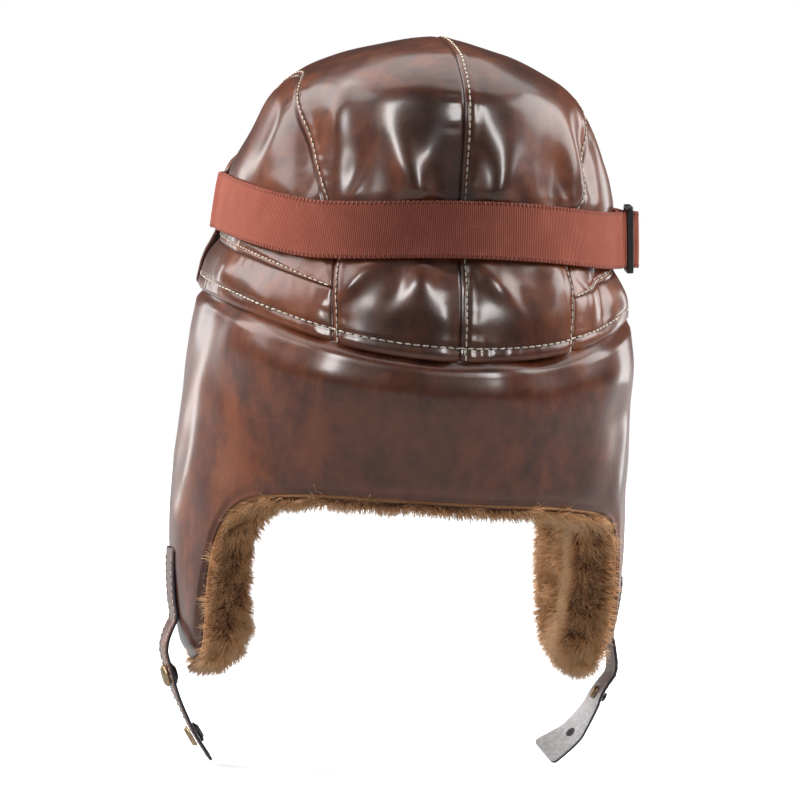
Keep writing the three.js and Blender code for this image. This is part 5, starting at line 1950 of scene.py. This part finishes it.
LIGHTS = (
    SoftBox("fill_left", (-1.85, -0.3, 0.8), (1.4, 1.6), 64.0, Shows.MATT),
    SoftBox("fill_right", (1.85, -0.3, 0.8), (1.0, 1.2), 38.0, Shows.MATT),
    SoftBox("box_left", (-1.75, -0.4, 1.3), (2.0, 1.6), 34.0),
    SoftBox("box_right", (1.75, -0.4, 1.15), (1.5, 1.3), 28.0),
    SoftBox("strip_left", (-1.05, 1.4, 1.1), (0.36, 0.9), 22.0, Shows.GLOSS),
    SoftBox("strip_right", (0.9, 1.5, 1.05), (0.34, 0.9), 17.0, Shows.GLOSS),
    SoftBox("rim_left", (-1.2, -1.6, 0.1), (0.3, 0.8), 2.5),
    SoftBox("rim_right", (1.2, -1.6, 0.1), (0.3, 0.8), 2.5),
    SoftBox("top", (0.0, -0.6, 1.6), (2.2, 1.6), 18.0),
)


@dataclass(frozen=True)
class Studio:
    """Pale floor, soft lights and the camera at the photograph's angle. Sizes in metres."""

    azimuth: float = 168.5
    elevation: float = 2.5
    roll: float = 3.8
    distance: float = 2.6
    sensor: float = 36.0
    frame_width: float = 0.3636
    middle: tuple[float, float] = (-0.0023, -0.1633)
    aim: tuple[float, float, float] = (0.0, 0.0, -0.12)
    floor_level: float = -0.3325
    floor_reach: float = 2.4
    floor_glow: float = 0.55
    floor_pale: Colour = (0.86, 0.86, 0.865)
    floor_grey: Colour = (0.82, 0.82, 0.825)
    horizon: float = 0.06
    room: float = 0.045
    table: float = 0.6

    def build(self) -> None:
        """Makes the floor, the lights and the camera."""
        self._floor()
        self._world()
        for light in LIGHTS:
            self._light(light)
        self._camera()

    def screen_axes(self) -> tuple[Vector, Vector]:
        """The camera's right and its direction back from the subject."""
        turn, tilt = math.radians(self.azimuth), math.radians(self.elevation)
        right = Vector((math.cos(turn), math.sin(turn), 0.0))
        back = Vector((math.sin(turn) * math.cos(tilt), -math.cos(turn) * math.cos(tilt), math.sin(tilt)))
        return right, back

    def _camera(self) -> None:
        """Makes a long lens behind the helmet, rolled as the photograph is."""
        right, back = self.screen_axes()
        data = bpy.data.cameras.new("camera")
        data.sensor_width = self.sensor
        data.lens = self.sensor * self.distance / self.frame_width
        data.clip_start, data.clip_end = 0.1, 50.0
        camera = linked("camera", data)
        camera.rotation_mode = "QUATERNION"
        camera.location = right * self.middle[0] + Vector((0.0, 0.0, self.middle[1])) + back * self.distance
        level = (-back).to_track_quat("-Z", "Y")
        camera.rotation_quaternion = level @ Matrix.Rotation(math.radians(self.roll), 3, "Z").to_quaternion()
        bpy.context.scene.camera = camera

    def _light(self, light: SoftBox) -> None:
        """Makes one soft box, aimed at the helmet."""
        right, back = self.screen_axes()
        level_back = Vector((back.x, back.y, 0.0)).normalized()
        data = bpy.data.lights.new(light.name, "AREA")
        data.shape = "RECTANGLE"
        data.size, data.size_y = light.size
        data.energy = light.power
        box = linked(light.name, data)
        box.visible_glossy = light.shows is not Shows.MATT
        box.visible_diffuse = light.shows is not Shows.GLOSS
        box.location = right * light.place[0] + level_back * light.place[1] + Vector((0.0, 0.0, light.place[2]))
        box.rotation_mode = "QUATERNION"
        box.rotation_quaternion = (Vector(self.aim) - box.location).to_track_quat("-Z", "Y")

    def _floor(self) -> None:
        """Makes a flat pale floor that is brightest far from the helmet, like a studio sweep."""
        steps = np.linspace(-self.floor_reach, self.floor_reach, 3)
        points = np.array([[[x, y, self.floor_level] for y in steps] for x in steps]) / MM
        floor = mesh_object("floor", points, sheet_faces(3, 3, flipped=True))
        shade = Shade("pale_floor")
        colour = shade.blend(shade.noise(shade.place(), 3.0, 2.0) * 0.2, self.floor_pale, self.floor_grey)
        ball = shade.place((1.0 / self.floor_reach,) * 3)
        near = shade.node("ShaderNodeTexGradient", {"Vector": ball}, gradient_type="SPHERICAL")
        glow = shade.blend(shade.band(near, 0.8, 0.4), (self.floor_glow,) * 3, (1.0, 1.0, 1.0))
        floor.data.materials.append(shade.finish(
            Base_Color=colour, Roughness=0.7, Specular_IOR_Level=0.2, Emission_Color=glow, Emission_Strength=1.0
        ))
        floor.visible_diffuse = floor.visible_glossy = False

    def _world(self) -> None:
        """Makes surroundings that show white behind the helmet and light it only a little."""
        world = bpy.data.worlds.new("studio")
        world.use_nodes = True
        nodes = Nodes(world.node_tree)
        height = nodes.node("ShaderNodeSeparateXYZ", {0: nodes.node("ShaderNodeTexCoord", out="Generated")}, "Z")
        around = nodes.node("ShaderNodeMapRange", {
            "Value": height, "From Min": -self.horizon, "From Max": self.horizon, "To Min": self.table,
            "To Max": self.room,
        })
        seen = nodes.node("ShaderNodeLightPath", out="Is Camera Ray")
        background = nodes.tree.nodes["Background"]
        nodes.feed(background.inputs["Color"], (1.0, 1.0, 1.0))
        nodes.feed(background.inputs["Strength"], nodes.math("MAXIMUM", seen, around))
        bpy.context.scene.world = world


def main() -> None:
    """Builds the helmet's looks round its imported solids."""
    logging.basicConfig(level=logging.INFO, format="%(message)s")
    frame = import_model()
    nodes = frame["nodes"]
    bpy.context.scene.view_settings.view_transform = "Standard"
    Studio().build()
    form = HeadForm()
    leather = LeatherFinish().material()
    fur = FurFinish().material()
    elastic = ElasticFinish().material()
    thread, hole = THREAD.material(), NEEDLE_HOLE_SHADE.material()
    bronze, dark = BRONZE.material(), DARK_METAL.material()
    edge, back = PAINTED_EDGE.material(), STRAP_BACK.material()
    crown = Crown(form)
    crown.build(leather)
    NeckSkirt(form).build(leather)
    sewing = Sewing.tree()
    for name, (kind, paths) in crown.stitching().items():
        kind.sew(name, paths, sewing, thread, hole)
    FurLining(form).build(fur)
    GoggleStrap(form).build(elastic)
    slider = rounded_copy(nodes["strap_slider"], "strap_slider_frame", 0.55, 3)
    dress(slider, SLIDER_PLASTIC.material(), "slider_black", "strap_slider")
    straps = (ChinStrap(form, "left", 237, 268, LEFT_HANG), ChinStrap(form, "right", 239, 265, RIGHT_HANG))
    for strap in straps:
        strap.build(leather, edge, back)
        Sewing(3.2, 2.4, 0.5).sew(f"chin_stitches_{strap.side}", strap.stitch_lines(), sewing, thread, hole)
    straps[1].add_inner_eyelet(dark, hole)
    for name in ("snap_cap_upper", "snap_cap_lower", "snap_rivet"):
        dress(rounded_copy(nodes[name], name + "_round", 0.35), bronze, "snap_bronze", name)
    for name in ("snap_socket_upper", "snap_socket_lower", "snap_stud", "eyelet_outer"):
        dress(rounded_copy(nodes[name], name + "_round", 0.25), dark, "snap_dark", name)


if __name__ == "__main__":
    main()
